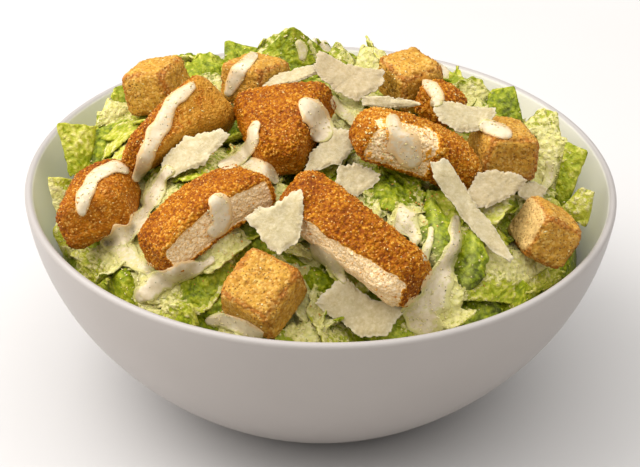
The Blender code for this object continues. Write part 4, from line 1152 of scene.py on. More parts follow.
ROWS = [
    # front left
    ((S(-73.0, -42.5, 1), S(-77.9, -37.8, 2.5), S(-83.1, -32.5, 2.5)), (8, 12, 9), (0.6, 0.45), 0.3, 103, {}),
    ((S(-45.0, -50.8, 0.5), S(-51.1, -47.2, 2), S(-56.3, -43.2, 2)), (7, 10, 8), 0.38, 0.4, 105, {}),
    ((S(-19.5, -29.2, 0), S(-23.7, -23.5, 2), S(-25.2, -17.1, 3)), (12, 13, 9), (0.75, 0.62), 0.3, 106, {}),
    ((S(-0.0, -50.9, 1), S(-4.7, -36.7, 3), S(-11.5, -22.6, 3)), (10, 15, 10), 0.38, 0.45, 107, {}),
    ((S(4.0, -47.8, 0), S(1.1, -40.0, 2), S(-3.8, -31.6, 2)), (8, 9, 8), 0.6, 0.35, 108, {}),
    ((S(1.4, -57.7, 0), S(-2.0, -54.4, 1.5), S(-4.2, -49.3, 2)), (24, 26, 22), (0.55, 0.4), 0.32, 109, dict(ruffle=1.3)),
    ((S(-19.0, -57.4, 0), S(-21.1, -55.1, 2), S(-22.5, -51.7, 2)), (18, 20, 16), (0.6, 0.5), 0.4, 110, {}),
    ((S(27.2, -54.8, 0), S(25.1, -50.1, 2), S(22.3, -44.7, 2)), (16, 19, 14), (0.6, 0.5), 0.3, 111, {}),
    ((S(38.7, -51.9, 1), S(40.6, -41.0, 3), S(42.4, -30.0, 3)), (12, 15, 10), 0.3, 0.7, 112, dict(ruffle=1.2)),
    # right front: a large pale leaf over a dark gap
    # painted shade: this dark leaf under the pale leaf's lower edge paints the shade of the gap beneath it
    ((S(60.6, -39.9, 0), S(54.9, -44.1, 1.5), S(47.9, -48.0, 2)), (9, 12, 8), (0.8, 0.66), 0.12, 115, {}),
    ((S(39.7, -32.8, 2), S(39.8, -18.5, 5.5), S(36.5, -4.6, 4)), (6, 12.5, 5), (0.84, 0.62), 0.08, 116, dict(cup=-2.2, rib=1.0, ruffle=0.8)),
    ((S(47.4, -40.8, 2), S(51.5, -27.8, 5.5), S(52.3, -15.6, 4)), (4, 11, 4), (0.84, 0.6), 0.05, 117, dict(cup=-2.0, rib=0.8, ruffle=0.7)),
    ((S(18.9, -13.5, 0), S(19.5, -6.7, 2), S(20.1, -0.5, 2)), (7, 9, 6), 0.55, 0.35, 119, {}),
    ((S(30.7, -23.1, 1), S(29.9, -15.7, 2.5), S(28.7, -8.9, 2)), (9, 12, 9), 0.3, 0.7, 120, {}),
    ((S(61.3, -20.1, 1), S(63.1, -12.6, 2), S(66.1, -7.5, 2)), (12, 13, 8), (0.7, 0.6), 0.2, 121, {}),
    # back peaks
    ((P(50, 24, 88), P(51, 30, 94), P(50, 34, 99)), (14, 14, 10), (0.45, 0.4), 0.4, 133, {}),
    # between the toppings
    ((S(-58.0, -8.2, 1), S(-57.1, -1.4, 2.5), S(-55.6, 4.8, 2)), (9, 11, 8), 0.5, 0.4, 138, {}),
    ((S(-65.2, -23.3, 1), S(-62.0, -14.1, 2.5), S(-58.7, -7.2, 2)), (8, 10, 8), 0.32, 0.6, 139, {}),
    ((S(-22.4, -5.5, 0.5), S(-21.5, 1.4, 2), S(-20.2, 7.2, 2)), (14, 17, 12), 0.42, 0.55, 141, {}),
    ((S(-12.0, -13.8, 1), S(-13.8, -8.0, 2), S(-15.3, -3.3, 2)), (9, 10, 7), 0.45, 0.5, 142, {}),
    ((S(7.8, 14.9, 0.5), S(8.1, 21.3, 2), S(7.6, 27.1, 2)), (10, 13, 9), 0.42, 0.5, 143, {}),
    ((S(10.9, -20.1, 0.5), S(12.8, -12.6, 2), S(14.0, -5.8, 2)), (12, 15, 10), 0.42, 0.5, 144, {}),
    ((S(-51.6, -43.4, 1), S(-54.4, -36.0, 2.5), S(-56.9, -29.9, 2.5)), (12, 15, 10), 0.36, 0.5, 145, {}),
    ((S(-39.4, -1.7, 0.5), S(-36.2, 4.5, 1.5), S(-32.9, 9.3, 1.5)), (12, 13, 9), 0.45, 0.5, 146, {}),
    ((S(46.3, -35.7, 0.5), S(48.4, -23.8, 1), S(45.8, -11.9, 1)), (12, 14, 10), 0.5, 0.5, 147, {}),
    ((S(-46.0, -31.1, 4.5), S(-37.3, -24.1, 7), S(-25.2, -19.1, 6.5)), (12, 16, 11), 0.3, 0.6, 148, dict(ruffle=2.4)),
]
for points, widths, tone, coat, seed, extra in ROWS:
    leaf(points, widths, tone, coat, seed, **extra)

PATCHES = [
    # left, against the wall
    ((V(-85.4, -1.6, 0), V(-78.6, 2.3, 4), V(-76.2, 15.9, 14), V(-90.5, 17.0, 10)), 150, dict(tone=(0.42, 0.3), coat=0.12, bulge=1.2, crinkle=0.5)),
    ((V(-78.0, 2.6, 4), V(-66.2, 7.6, 8), V(-57.9, 21.1, 22), V(-79.9, 14.2, 14)), 151, dict(tone=0.64, coat=(-0.2, 0.0), bulge=1.5, crinkle=0.5)),
    ((V(-76.9, 15.2, 18), V(-61.3, 20.7, 24), V(-66.5, 24.0, 29), V(-73.3, 25.5, 28)), 152, dict(tone=0.26, coat=0.5, bulge=1.5)),
    ((V(-88.0, -21.7, -26), V(-83.7, -18.2, -24), V(-83.0, -2.6, -17), V(-93.9, -1.4, -19)), 153, dict(tone=0.28, coat=0.45, bulge=1.5, crinkle=0.7)),
    # back peaks
    ((V(-33.7, 36.5, 43), V(-22.2, 38.4, 43), V(-19.9, 42.9, 50), V(-33.6, 46.0, 50)), 154, dict(tone=0.6, coat=0.02, bulge=1.2, crinkle=0.35, ruffle=0.2, frill=0.25)),
    ((V(-43.1, 30.2, 36), V(-35.0, 30.0, 36), V(-34.4, 37.2, 42), V(-40.9, 39.1, 42)), 155, dict(tone=0.66, coat=0.1, bulge=1.0)),
    ((V(-21.6, 40.8, 44), V(-10.2, 32.9, 36), V(1.5, 42.0, 44), V(-10.6, 51.8, 46)), 156, dict(tone=0.58, coat=0.16, bulge=0.6, fold=2.6, crinkle=0.5, ruffle=0.2, frill=0.25, corner=0.1)),
    ((V(0.6, 39.9, 38), V(11.6, 33.3, 34), V(12.1, 39.4, 42), V(4.5, 46.4, 44)), 157, dict(tone=0.42, coat=0.42, bulge=1.2, corner=0.3)),
    ((V(9.5, 34.6, 36), V(21.4, 33.5, 34), V(21.6, 43.0, 42), V(12.7, 45.6, 44)), 158, dict(tone=0.4, coat=0.45, bulge=1.2, corner=0.3)),
    # right, against the wall
    ((V(43.3, 27.1, 30), V(55.6, 25.3, 28), V(56.2, 30.8, 34), V(42.8, 37.3, 38)), 159, dict(tone=0.4, coat=0.38, bulge=1.2)),
    ((V(55.7, 22.6, 22), V(68.3, 20.5, 20), V(65.0, 32.6, 30), V(56.2, 29.8, 30)), 160, dict(tone=0.64, coat=0.05, bulge=1.0, crinkle=0.4, ruffle=0.2, frill=0.25)),
    ((V(66.6, 17.4, 8), V(81.7, 12.9, 3), V(79.8, 23.8, 14), V(74.0, 25.3, 17)), 161, dict(tone=0.28, coat=0.5, bulge=1.4, corner=0.25, crinkle=0.85)),
    ((V(72.8, -3.9, -10), V(78.3, -6.9, -12), V(84.0, 15.0, 2), V(73.1, 17.2, 5)), 162, dict(tone=0.2, coat=0.56, bulge=1.2, crinkle=0.9)),
    ((V(78.7, -8.2, -14), V(83.8, -9.8, -16), V(90.6, 10.7, -4), V(83.0, 14.3, -1)), 163, dict(tone=(0.56, 0.4), coat=(0.12, 0.35), bulge=1.6, crinkle=0.9)),
    ((V(80.8, -10.2, -24), V(91.1, -15.8, -28), V(94.3, -3.2, -22), V(88.1, -1.6, -20)), 164, dict(tone=0.24, coat=0.48, bulge=1.4, corner=0.25, crinkle=0.9)),
    # front left
    ((S(-75.1, -40.2, 1.5), S(-64.5, -42.0, 1.5), S(-65.2, -23.0, 3.5), S(-85.9, -27.1, 3)), 165, dict(tone=(0.4, 0.2), coat=(0.1, 0.3), bulge=2.0, crinkle=1.5, ruffle=1.0, frill=0.7)),
    ((S(-66.9, -42.0, 1), S(-56.8, -38.4, 1), S(-53.2, -29.9, 3.5), S(-71.4, -21.4, 4)), 166, dict(tone=0.26, coat=(0.3, 0.55), bulge=1.5, crinkle=1.1, ruffle=1.0, frill=0.7)),
    ((S(-49.1, -46.8, 1.5), S(-30.7, -49.8, 1.5), S(-26.5, -18.8, 6), S(-44.4, -25.3, 5.5)), 167, dict(tone=(0.62, 0.46), coat=(0.0, 0.5), bulge=3.0, crinkle=1.7, ruffle=2.2, frill=0.8)),
    ((S(-55.9, -46.6, 1), S(-40.2, -52.4, 1), S(-43.0, -44.6, 3), S(-54.0, -42.8, 3)), 168, dict(tone=0.34, coat=0.42, bulge=1.2, crinkle=1.1, frill=0.7)),
    # right front: a large pale leaf over a dark gap
    ((S(48.4, -40.8, 4.5), S(67.1, -41.5, 5), S(78.7, -27.3, 4), S(57.5, -19.5, 3)), 169, dict(tone=(0.36, 0.16), coat=(0.3, 0.6), bulge=2.8, ruffle=2.0, crinkle=0.7)),
    ((S(67.8, -40.8, 2.5), S(80.9, -34.7, 2.5), S(83.2, -30.9, 3), S(74.3, -26.7, 3)), 170, dict(tone=(0.4, 0.26), coat=0.3, bulge=1.5, ruffle=1.0)),
    ((S(60.7, -27.6, 3), S(75.0, -27.4, 4), S(72.5, -19.9, 4.5), S(62.9, -19.1, 4)), 171, dict(tone=0.34, coat=0.5, bulge=1.2)),
    # middle
    ((S(16.8, -9.5, 1), S(31.9, -12.6, 1), S(35.4, -3.0, 3.5), S(21.3, 2.9, 3.5)), 172, dict(tone=(0.62, 0.78), coat=0.16, bulge=1.5, crinkle=1.2)),
    ((S(56.0, -12.8, 1), S(65.9, -16.0, 0.5), S(73.5, -4.6, 2.5), S(61.0, -4.5, 2.5)), 173, dict(tone=(0.72, 0.5), coat=(0.05, 0.3), bulge=1.0, crinkle=0.8)),
    ((S(-65.4, -13.8, 1), S(-54.6, -10.8, 1), S(-46.4, 3.9, 2.5), S(-61.9, 0.9, 2.5)), 174, dict(tone=0.5, coat=0.28, bulge=1.5, crinkle=0.8)),
]
for corners, seed, extra in PATCHES:
    patch(corners, seed, **extra)

# the rest of the heap, all round: pieces that lie like shingles with one edge up
rng = np.random.default_rng(23)
number = 0
for ring_r, count in ((10, 4), (26, 10), (43, 16), (58, 22), (71, 28), (81, 32)):
    for k in range(count):
        a = TAU * (k + rng.uniform(-0.3, 0.3)) / count + ring_r
        r = ring_r + rng.uniform(-4, 4)
        x, y = r * math.cos(a), r * math.sin(a)
        out_dir = np.array([math.cos(a), math.sin(a)])
        turn = rng.uniform(-1.1, 1.1)
        d = np.array([out_dir[0] * math.cos(turn) - out_dir[1] * math.sin(turn), out_dir[0] * math.sin(turn) + out_dir[1] * math.cos(turn)])
        if rng.uniform() < 0.3:
            d = -d
        size = rng.uniform(16, 26) * (0.8 if ring_r > 75 else 1.0) * (1.18 if y > 25 else 1.0)
        wide = size * rng.uniform(0.7, 1.05)
        pts = []
        for f, up in ((-0.5, -1.4), (0.05, 0.2), (0.5, rng.uniform(0.6, 3.0) if ring_r < 70 else rng.uniform(0.0, 0.8))):
            px, py = x + d[0] * size * f, y + d[1] * size * f
            rr = math.hypot(px, py)
            if rr > 87.0:
                px, py = px * 87.0 / rr, py * 87.0 / rr
            pts.append([px, py, float(heap_at(px, py)) + up - (2.2 if y < 8 else 0.6)])
        e = 3.0
        gxn = float(heap_at(x + e, y) - heap_at(x - e, y)) / (2 * e)
        gyn = float(heap_at(x, y + e) - heap_at(x, y - e)) / (2 * e)
        tone = rng.uniform(0.18, 0.74) if y > 20 else rng.uniform(0.22, 0.6)
        leaf(pts, (wide * rng.uniform(0.6, 0.9), wide, wide * rng.uniform(0.5, 0.95)), (tone, tone - 0.08),
             rng.uniform(0.2, 0.55) if y < 30 else rng.uniform(0.1, 0.5), 200 + number, face=(-gxn, -gyn, 1.0), roll=rng.uniform(-14, 14),
             ruffle=rng.uniform(0.7, 1.5) * (1.5 if y > 25 else 1.0), crinkle=1.0 if y > 25 else 0.6, cell=1.05 if y < 25 else 1.1)
        number += 1

# sprigs that stand up at the back, finished like the front
for x, y, z, w, az, tone, coat in [(33, 60, 91, 14, 70, 0.62, 0.2), (-5, 70, 93, 18, 95, 0.5, 0.4), (-52, 56, 94, 17, 130, 0.68, 0.15),
                                   (22, 72, 88, 14, 75, 0.4, 0.35), (-30, 70, 90, 15, 112, 0.72, 0.1), (66, 46, 88, 15, 35, 0.36, 0.4),
                                   (-72, 40, 89, 14, 150, 0.5, 0.3), (80, 26, 88, 12, 18, 0.66, 0.12)]:
    d = np.array([math.cos(math.radians(az)), math.sin(math.radians(az))])
    leaf((P(x - d[0] * 10, y - d[1] * 10, z - 12), P(x - d[0] * 3, y - d[1] * 3, z - 4), P(x + d[0] * 1.5, y + d[1] * 1.5, z)),
         (w * 0.8, w, w * 0.6), (tone + 0.08, tone - 0.04), coat, 420 + int(x) + int(y), face=(d[0], d[1], 0.55), ruffle=0.9)

leaf_objects = []
for k, bag in enumerate(leaves):
    obj = bag.build("lettuce_leaves_%d" % (k + 1), LETTUCE)
    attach(obj, "root")
    leaf_objects.append(obj)
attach(core, "root")
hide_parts("lettuce")
for obj in leaf_objects:
    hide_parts("lettuce")

# ================================================================ dressing
def tree_of(objects):
    verts, polys, owner = [], [], []
    n = 0
    for k, obj in enumerate(objects):
        mesh = obj.data
        co = np.zeros(len(mesh.vertices) * 3, np.float32)
        mesh.vertices.foreach_get("co", co)
        mesh.calc_loop_triangles()
        tri = np.zeros(len(mesh.loop_triangles) * 3, np.int32)
        mesh.loop_triangles.foreach_get("vertices", tri)
        verts.append(co.reshape(-1, 3) / MM)
        polys.append(tri.reshape(-1, 3) + n)
        owner += [k] * len(mesh.loop_triangles)
        n += len(mesh.vertices)
    tree = BVHTree.FromPolygons(np.vstack(verts).tolist(), np.vstack(polys).tolist())
    return tree, np.array(owner)


food = list(toppings.values()) + leaf_objects + [core]
food_tree, food_owner = tree_of(food)
TOPPING_COUNT = len(toppings)
owner_names = list(toppings.keys()) + ["leaf"] * len(leaf_objects) + ["core"]


def look_at(u, v):
    """Distance from the viewer to the food behind (u, v) on the facing plane, and the way there."""
    d = sheet(u, v) - EYE
    d /= np.linalg.norm(d)
    hit = food_tree.ray_cast(Vector(EYE), Vector(d))
    if hit[0] is None:
        return np.nan, d, 0.0
    return hit[3], d, 1.0 if owner_names[food_owner[hit[2]]].startswith(("chicken", "crouton")) else 0.0


def spline(points, step):
    """A smooth line through rows of numbers, with a row about every step along the first two."""
    pts = np.array(points, float)
    pts = np.vstack([2 * pts[0] - pts[1], pts, 2 * pts[-1] - pts[-2]])
    out = []
    for i in range(1, len(pts) - 2):
        n = max(2, int(np.linalg.norm(pts[i + 1, :2] - pts[i, :2]) / step))
        t = (np.arange(n) / n)[:, None]
        a, b, c, d = pts[i - 1], pts[i], pts[i + 1], pts[i + 2]
        out.append(0.5 * (2 * b + (c - a) * t + (2 * a - 5 * b + 4 * c - d) * t ** 2 + (3 * b - a - 3 * c + d) * t ** 3))
    return np.vstack(out + [pts[-2][None]])


sauce = Bag()


def pour(points, thick, seed, sheer=0.15, lobes=0.42):
    """A run of dressing over whatever lies behind its path: rows of u, v, width on the facing plane."""
    line = spline(points, 0.75)
    c, w = line[:, :2], np.maximum(line[:, 2], 1.0)
    run = np.concatenate([[0], np.cumsum(np.linalg.norm(np.diff(c, axis=0), axis=1))])
    total = run[-1]
    tan = np.gradient(c, axis=0)
    tan /= np.linalg.norm(tan, axis=1)[:, None] + 1e-9
    nor = np.stack([-tan[:, 1], tan[:, 0]], 1)
    head = np.clip(run / (0.5 * w), 0, 1)
    tail = np.clip((total - run) / (0.5 * w), 0, 1)
    end = np.sqrt(np.clip(1 - (1 - head) ** 2, 0, 1)) * np.sqrt(np.clip(1 - (1 - tail) ** 2, 0, 1))
    end = np.maximum(end, 0.12)
    probe = np.stack([run, run * 0, run * 0], 1) + 13.0 * seed
    half_l = 0.5 * w * end * (1 + lobes * vnoise(probe / 4.2, seed) + 0.1 * vnoise(probe / 1.8, seed + 1))
    half_r = 0.5 * w * end * (1 + lobes * vnoise(probe / 4.2, seed + 2) + 0.1 * vnoise(probe / 1.8, seed + 3))
    m = max(9, int(w.max() / 0.75)) | 1
    t = np.sin(np.linspace(-1, 1, m) * math.pi / 2)
    n = len(c)
    dist = np.full((n, m), np.nan)
    ways = np.zeros((n, m, 3))
    brown = np.zeros((n, m))
    for i in range(n):
        for j in range(m):
            off = t[j] * (half_r[i] if t[j] > 0 else half_l[i])
            p = c[i] + nor[i] * off
            dist[i, j], ways[i, j], brown[i, j] = look_at(p[0], p[1])
    if np.isnan(dist).all():
        return
    dist = np.where(np.isnan(dist), np.nanmedian(dist), dist)
    mid = np.median(dist)
    dist = np.clip(dist, mid - 16, mid + 16)
    hit = dist.copy()

    def around(a, f):
        p = np.pad(a, 1, mode="edge")
        return f([p[1:-1, 1:-1], p[:-2, 1:-1], p[2:, 1:-1], p[1:-1, :-2], p[1:-1, 2:]])
    near = around(dist, lambda x: np.min(x, axis=0))
    for _ in range(5):
        near = around(near, lambda x: np.mean(x, axis=0))
    surf = np.minimum(near, hit + 0.25)
    tt = np.abs(t)[None, :]
    bead = np.sqrt(np.clip(1 - tt ** 2.4, 0, 1)) * (0.35 + 0.65 * end[:, None])
    q = np.stack([np.repeat(run[:, None], m, 1).ravel(), (t[None, :] * w[:, None] * 0.5).ravel(), np.zeros(n * m)], 1) + 13.0 * seed
    lump = (0.3 * vnoise(q / 3.4, seed + 4) + 0.3 * vnoise(q / 1.4, seed + 5)).reshape(n, m)
    top = surf - (thick * bead * (1 + 0.35 * lump * 2) - 0.3 * (tt > 0.999) * 1.0)
    top = np.where(tt > 0.995, hit + 0.35, top)
    top[0], top[-1] = hit[0] + 0.35, hit[-1] + 0.35
    low = np.maximum(top + 0.3, hit + 0.7)
    co_top = EYE + ways * top[..., None]
    co_low = EYE + ways * low[..., None]
    i, j = np.meshgrid(np.arange(n - 1), np.arange(m - 1), indexing="ij")
    a = (i * m + j).ravel()
    quads = np.stack([a, a + 1, a + m + 1, a + m], 1)
    nn = normals_of(co_top.reshape(-1, 3), quads)
    if (nn @ back).mean() < 0:
        quads = quads[:, ::-1]
    k = n * m
    ring = np.concatenate([np.arange(m - 1), np.arange(n - 1) * m + m - 1, k - 1 - np.arange(m - 1), (n - 1 - np.arange(n - 1)) * m])
    nxt = np.roll(ring, -1)
    wall = np.stack([ring, nxt, nxt + k, ring + k], 1)
    co = np.vstack([co_top.reshape(-1, 3), co_low.reshape(-1, 3)])
    wn = np.cross(co[nxt] - co[ring], co[ring + k] - co[ring])
    cen = co_top.reshape(-1, 3).mean(0)
    if (wn * (co[ring] - cen)).sum() < 0:
        wall = wall[:, ::-1]
    sheet_end = np.minimum(run, total - run)[:, None] / (0.5 * w[:, None])
    thin = np.maximum(smooth(0.5, 1.0, tt), smooth(0.5, 0.0, sheet_end)) + sheer
    sauce.add(co, np.vstack([quads, quads[:, ::-1] + k, wall]), None, thin=np.clip(np.tile(thin.ravel(), 2), 0, 1),
              brown=np.tile(brown.ravel(), 2))


POURS = [
    ([(-22.3, 41.5, 3.1), (-26.9, 37.3, 4.8), (-29.9, 32.5, 5.1), (-32.9, 26.7, 3.1)], 0.7, 0.2),
    ([(-43.5, 31.2, 2.7), (-47.8, 27.4, 4.4), (-52.5, 22.5, 5.8), (-54.8, 17.0, 6.1), (-57.4, 11.9, 6.8), (-60.0, 5.4, 6.5), (-63.6, -2.9, 3.7)], 0.7, 0.25),
    ([(-65.0, 0.5, 2.0), (-69.1, 2.1, 3.7), (-73.9, 1.4, 4.8), (-77.9, -1.8, 5.1), (-80.2, -6.9, 4.8), (-81.1, -11.7, 3.7), (-80.7, -15.1, 1.7)], 1.1, 0.05),
    ([(-50.8, 2.8, 3.4), (-55.7, -4.7, 5.4), (-59.0, -11.6, 5.4), (-62.3, -17.1, 6.8), (-68.6, -22.0, 8.8), (-74.7, -24.2, 4.8)], 0.8, 0.25),
    ([(-35.5, -28.2, 2.7), (-41.9, -31.7, 4.8), (-47.3, -33.5, 6.1), (-53.4, -36.3, 8.2), (-58.8, -40.2, 8.8), (-62.1, -43.6, 4.8)], 1.1, 0.12),
    ([(-38.8, -50.0, 3.4), (-32.7, -48.9, 6.1), (-27.2, -51.5, 5.8), (-18.3, -55.0, 2.7)], 1.1, 0.1),
    ([(-38.3, -8.1, 3.1), (-35.6, -9.5, 6.8), (-33.8, -13.2, 8.2), (-34.7, -17.3, 7.5), (-38.1, -20.7, 4.1)], 1.0, 0.25),
    ([(-21.8, 19.0, 3.1), (-23.1, 14.9, 4.4), (-24.4, 10.2, 4.8), (-27.7, 6.3, 5.8), (-32.4, 4.2, 4.8), (-35.5, 3.5, 2.4)], 1.0, 0.12),
    ([(-28.4, 5.3, 3.4), (-22.2, 3.4, 4.8), (-17.4, 1.1, 4.1), (-14.6, -2.6, 2.0)], 0.6, 0.25),
    ([(-8.0, 26.1, 3.4), (-4.6, 23.8, 7.5), (-1.8, 20.1, 9.2), (-0.3, 16.1, 8.2), (-3.3, 12.6, 4.1)], 1.1, 0.12),
    ([(23.4, 22.3, 2.7), (24.1, 18.9, 4.8), (25.9, 15.2, 8.2), (28.0, 11.2, 11.6), (30.1, 7.8, 10.2), (33.6, 4.5, 4.8)], 0.7, 0.4, 1.0),
    ([(53.0, 18.8, 2.7), (57.1, 18.2, 5.4), (61.2, 16.9, 5.1), (64.7, 15.0, 2.4)], 0.9, 0.15),
    ([(33.7, 33.7, 2.4), (37.1, 31.1, 5.1), (38.6, 27.7, 5.1), (36.6, 25.0, 2.0)], 0.8, 0.3),
    ([(46.1, -11.6, 2.7), (46.2, -17.0, 4.8), (45.7, -23.2, 5.1), (43.1, -28.7, 5.1), (41.1, -34.1, 8.2), (38.2, -41.0, 12.9), (34.9, -47.9, 14.3), (32.3, -52.7, 8.2)], 0.8, 0.3),
    ([(27.0, -7.9, 4.8), (27.1, -13.3, 10.2), (29.9, -18.0, 8.8), (33.4, -22.7, 3.4)], 0.7, 0.35, 0.9),
    ([(38.0, -15.8, 1.7), (36.8, -22.0, 2.7), (35.6, -28.1, 2.0)], 0.5, 0.4),
    ([(-3.3, -22.8, 3.1), (0.8, -26.8, 5.8), (5.7, -31.4, 4.8), (9.2, -36.1, 2.0)], 0.6, 0.35),
    ([(-9.4, 46.5, 2.0), (-7.3, 43.1, 3.4), (-7.6, 39.1, 2.7)], 0.4, 0.4),
    ([(76.0, 7.4, 2.0), (78.1, 4.7, 4.1), (77.5, 0.6, 4.1), (75.5, -2.9, 2.0)], 0.3, 0.6),
    ([(3.2, 27.7, 2.0), (6.0, 23.7, 4.8), (9.4, 20.3, 4.1), (10.2, 17.6, 2.0)], 0.5, 0.4),
    ([(-74.7, -22.8, 3.4), (-67.9, -26.1, 8.2), (-61.7, -30.0, 8.8), (-56.2, -34.3, 4.1)], 0.4, 0.5, 1.0),
]
for seed, (points, thick, sheer, *lobes) in enumerate(POURS):
    pour(points, thick, 500 + seed, sheer, *lobes)


# the same dressing over the back of the heap, poured from above
def drape(points, thick, seed):
    """A run of dressing seen from above: rows of x, y, width."""
    line = spline(points, 0.8)
    c, w = line[:, :2], np.maximum(line[:, 2], 1.0)
    run = np.concatenate([[0], np.cumsum(np.linalg.norm(np.diff(c, axis=0), axis=1))])
    tan = np.gradient(c, axis=0)
    tan /= np.linalg.norm(tan, axis=1)[:, None] + 1e-9
    nor = np.stack([-tan[:, 1], tan[:, 0]], 1)
    end = np.sqrt(np.clip(1 - (1 - np.clip(run / (0.5 * w), 0, 1)) ** 2, 0, 1)) * \
        np.sqrt(np.clip(1 - (1 - np.clip((run[-1] - run) / (0.5 * w), 0, 1)) ** 2, 0, 1))
    end = np.maximum(end, 0.12)
    m = 11
    t = np.sin(np.linspace(-1, 1, m) * math.pi / 2)
    n = len(c)
    probe = np.stack([run, run * 0, run * 0], 1) + 9.0 * seed
    sway = 0.9 * vnoise(probe / 6.0, seed + 3)
    half = 0.5 * w * end * (1 + 0.5 * vnoise(probe / 3.6, seed) + 0.3 * vnoise(probe / 1.3, seed + 1))
    xy = c[:, None, :] + nor[:, None, :] * (t[None, :, None] * half[:, None, None] + sway[:, None, None])
    z = np.full((n, m), np.nan)
    for i in range(n):
        for j in range(m):
            hit = food_tree.ray_cast(Vector((xy[i, j, 0], xy[i, j, 1], 140.0)), Vector((0, 0, -1)))
            if hit[0] is not None:
                z[i, j] = hit[0].z
    z = np.where(np.isnan(z), np.nanmedian(z), z)
    hit = z.copy()
    p = z
    for _ in range(5):
        e = np.pad(p, 1, mode="edge")
        p = (e[1:-1, 1:-1] + e[:-2, 1:-1] + e[2:, 1:-1] + e[1:-1, :-2] + e[1:-1, 2:]) / 5.0
    surf = np.maximum(p, hit - 0.25)
    tt = np.abs(t)[None, :]
    top = surf + thick * np.sqrt(np.clip(1 - tt ** 2.4, 0, 1)) * (0.35 + 0.65 * end[:, None])
    top = np.where(tt > 0.995, hit - 0.35, top)
    top[0], top[-1] = hit[0] - 0.35, hit[-1] - 0.35
    low = np.minimum(top - 0.3, hit - 0.7)
    i, j = np.meshgrid(np.arange(n - 1), np.arange(m - 1), indexing="ij")
    a = (i * m + j).ravel()
    quads = np.stack([a, a + 1, a + m + 1, a + m], 1)
    co_top = np.concatenate([xy, top[..., None]], 2).reshape(-1, 3)
    if normals_of(co_top, quads)[:, 2].mean() < 0:
        quads = quads[:, ::-1]
    k = n * m
    ring = np.concatenate([np.arange(m - 1), np.arange(n - 1) * m + m - 1, k - 1 - np.arange(m - 1), (n - 1 - np.arange(n - 1)) * m])
    nxt = np.roll(ring, -1)
    co = np.vstack([co_top, np.concatenate([xy, low[..., None]], 2).reshape(-1, 3)])
    wall = np.stack([ring, nxt, nxt + k, ring + k], 1)
    wn = np.cross(co[nxt] - co[ring], co[ring + k] - co[ring])
    if (wn * (co[ring] - co_top.mean(0))).sum() < 0:
        wall = wall[:, ::-1]
    sauce.add(co, np.vstack([quads, quads[:, ::-1] + k, wall]), None,
              thin=np.tile(np.broadcast_to(smooth(0.4, 1.0, tt), (n, m)).ravel(), 2), brown=0.0)


for seed, (points, thick) in enumerate([
        ([(-4, 62, 4), (-3, 67, 7), (1, 72, 8), (0, 77, 5)], 1.0),
        ([(37, 58, 4), (42, 61, 7), (44, 66, 6), (50, 67, 4)], 1.0),
        ([(-56, 50, 4), (-58, 55, 7), (-56, 60, 6), (-60, 62, 4)], 1.0),
        ([(20, 68, 3), (25, 72, 6), (28, 77, 4)], 0.9),
        ([(-30, 70, 4), (-26, 75, 7), (-27, 80, 4)], 0.9)]):
    drape(points, thick, 560 + seed)

dressing = sauce.build("dressing", DRESSING)
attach(dressing, "root")

# ================================================================ grated cheese, crumbs and pepper
all_tree, all_owner = tree_of(food + [dressing])
owner_names.append("dressing")

OCTA = np.array([[1, 0, 0], [-1, 0, 0], [0, 1, 0], [0, -1, 0], [0, 0, 1], [0, 0, -1]], float)
OCTA_F = np.array([[0, 2, 4], [2, 1, 4], [1, 3, 4], [3, 0, 4], [2, 0, 5], [1, 2, 5], [3, 1, 5], [0, 3, 5]])
gold = (1 + 5 ** 0.5) / 2
ICO = np.array([[-1, gold, 0], [1, gold, 0], [-1, -gold, 0], [1, -gold, 0], [0, -1, gold], [0, 1, gold], [0, -1, -gold], [0, 1, -gold],
                [gold, 0, -1], [gold, 0, 1], [-gold, 0, -1], [-gold, 0, 1]], float)
ICO /= np.linalg.norm(ICO[0])
ICO_F = np.array([[0, 11, 5], [0, 5, 1], [0, 1, 7], [0, 7, 10], [0, 10, 11], [1, 5, 9], [5, 11, 4], [11, 10, 2], [10, 7, 6], [7, 1, 8],
                  [3, 9, 4], [3, 4, 2], [3, 2, 6], [3, 6, 8], [3, 8, 9], [4, 9, 5], [2, 4, 11], [6, 2, 10], [8, 6, 7], [9, 8, 1]])


def scatter(bag, count, shape, faces, size, accept, seed, sink=0.3, flat=0.5, stretch=(1.0, 1.0), from_view=0.6):
    """Grains over the food: most where the viewer looks, the rest from straight above."""
    rng = np.random.default_rng(seed)
    made = 0
    for _ in range(count * 6):
        if made >= count:
            break
        if rng.uniform() < from_view:
            u, v = rng.uniform(-98, 98), rng.uniform(-58, 56)
            o = EYE
            d = sheet(u, v) - EYE
            d /= np.linalg.norm(d)
        else:
            r, a = 90 * math.sqrt(rng.uniform()), rng.uniform(0, TAU)
            o, d = np.array([r * math.cos(a), r * math.sin(a), 160.0]), np.array([0, 0, -1.0])
        hit = all_tree.ray_cast(Vector(o), Vector(d))
        if hit[0] is None:
            continue
        p, n = np.array(hit[0]), np.array(hit[1])
        if n @ d > 0:
            n = -n
        chance = accept(owner_names[all_owner[hit[2]]], p, n)
        if rng.uniform() > chance:
            continue
        a = rng.uniform(*size) * 0.5
        x = np.cross(n, rng.normal(size=3))
        x /= np.linalg.norm(x) + 1e-9
        y = np.cross(n, x)
        lx = a * rng.uniform(*stretch)
        body = shape * (1 + 0.28 * rng.normal(size=(len(shape), 1)).clip(-1.2, 1.2))
        co = p + n * (a * flat * (1 - sink)) + body[:, :1] * x * lx + body[:, 1:2] * y * a * 0.8 + body[:, 2:] * n * a * flat
        if co[:, 2].max() > 119.5 or np.hypot(co[:, 0], co[:, 1]).max() > 96.5:
            continue
        bag.add(co, None, faces)
        made += 1


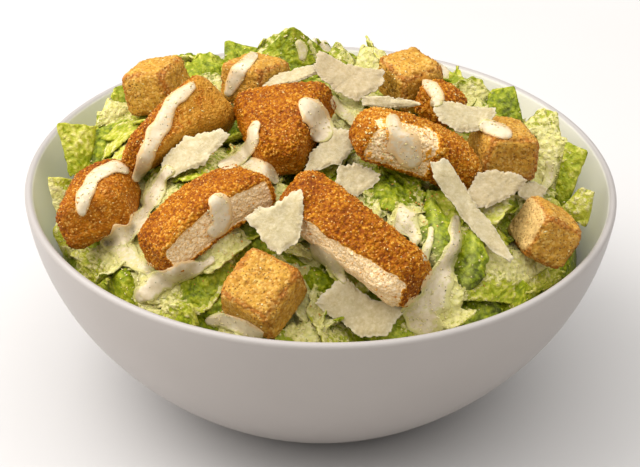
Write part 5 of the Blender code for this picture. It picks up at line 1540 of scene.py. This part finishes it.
def coated(p):
    u, v = plane_uv(p[None])
    return sum(a * math.exp(-((u[0] - cu) ** 2 + (v[0] - cv) ** 2) / (0.34 * reach) ** 2) for cu, cv, _, reach, a in COATED)


# clumps of fine cheese on the chicken: place on the facing plane, reach and amount
GRAINY = [(19.8, 13.7, 0, 20, 0.3), (28.0, 8.5, 0, 20, 0.4), (-33.4, -14.5, 0, 12, 0.25), (-58.3, 8.1, 0, 12, 0.2)]


def cheese_chance(owner, p, n):
    clump = vnoise(p[None] / 11.0, 71)[0] * 0.5 + 0.5
    if owner in ("leaf", "core"):
        return (0.01 * clump + 0.28 * coated(p)) * (0.45 + 0.55 * max(0.0, n[2]))
    if owner == "dressing":
        return 0.2 * clump
    if owner.startswith("shaving"):
        return 0.0
    u, v = plane_uv(p[None])
    return 0.012 * clump + sum(a * math.exp(-((u[0] - gu) ** 2 + (v[0] - gv) ** 2) / (0.34 * reach) ** 2) for gu, gv, _, reach, a in GRAINY)


def crumb_chance(owner, p, n):
    if owner in ("leaf", "core"):
        near = min(np.linalg.norm(p - np.array(c["at"])) - 0.5 * max(c["size"]) for c in CHICKEN_ROWS.values())
        return 0.5 * math.exp(-max(near, 0.0) / 3.0)
    if owner.startswith("chicken"):
        return 0.8
    return 0.03 if owner == "dressing" else 0.0


def pepper_chance(owner, p, n):
    return {"dressing": 1.0, "leaf": 0.08, "core": 0.03}.get(owner, 0.0)


grated, crumbs, pepper = Bag(), Bag(), Bag()
scatter(grated, 9500, OCTA, OCTA_F, (0.35, 0.8), cheese_chance, 31, flat=0.6, stretch=(0.9, 1.8))
scatter(crumbs, 700, ICO, ICO_F, (0.35, 0.75), crumb_chance, 32, flat=0.8, stretch=(0.9, 1.3))
scatter(pepper, 200, OCTA, OCTA_F, (0.25, 0.5), pepper_chance, 33, flat=0.45, stretch=(0.9, 1.4))
for bag, name, look, slot in ((grated, "grated_cheese", GRATED, "parmesan"), (crumbs, "loose_crumbs", CRUMB, "chicken"),
                              (pepper, "pepper_specks", SPECK, None)):
    obj = bag.build(name, look)
    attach(obj, "root")
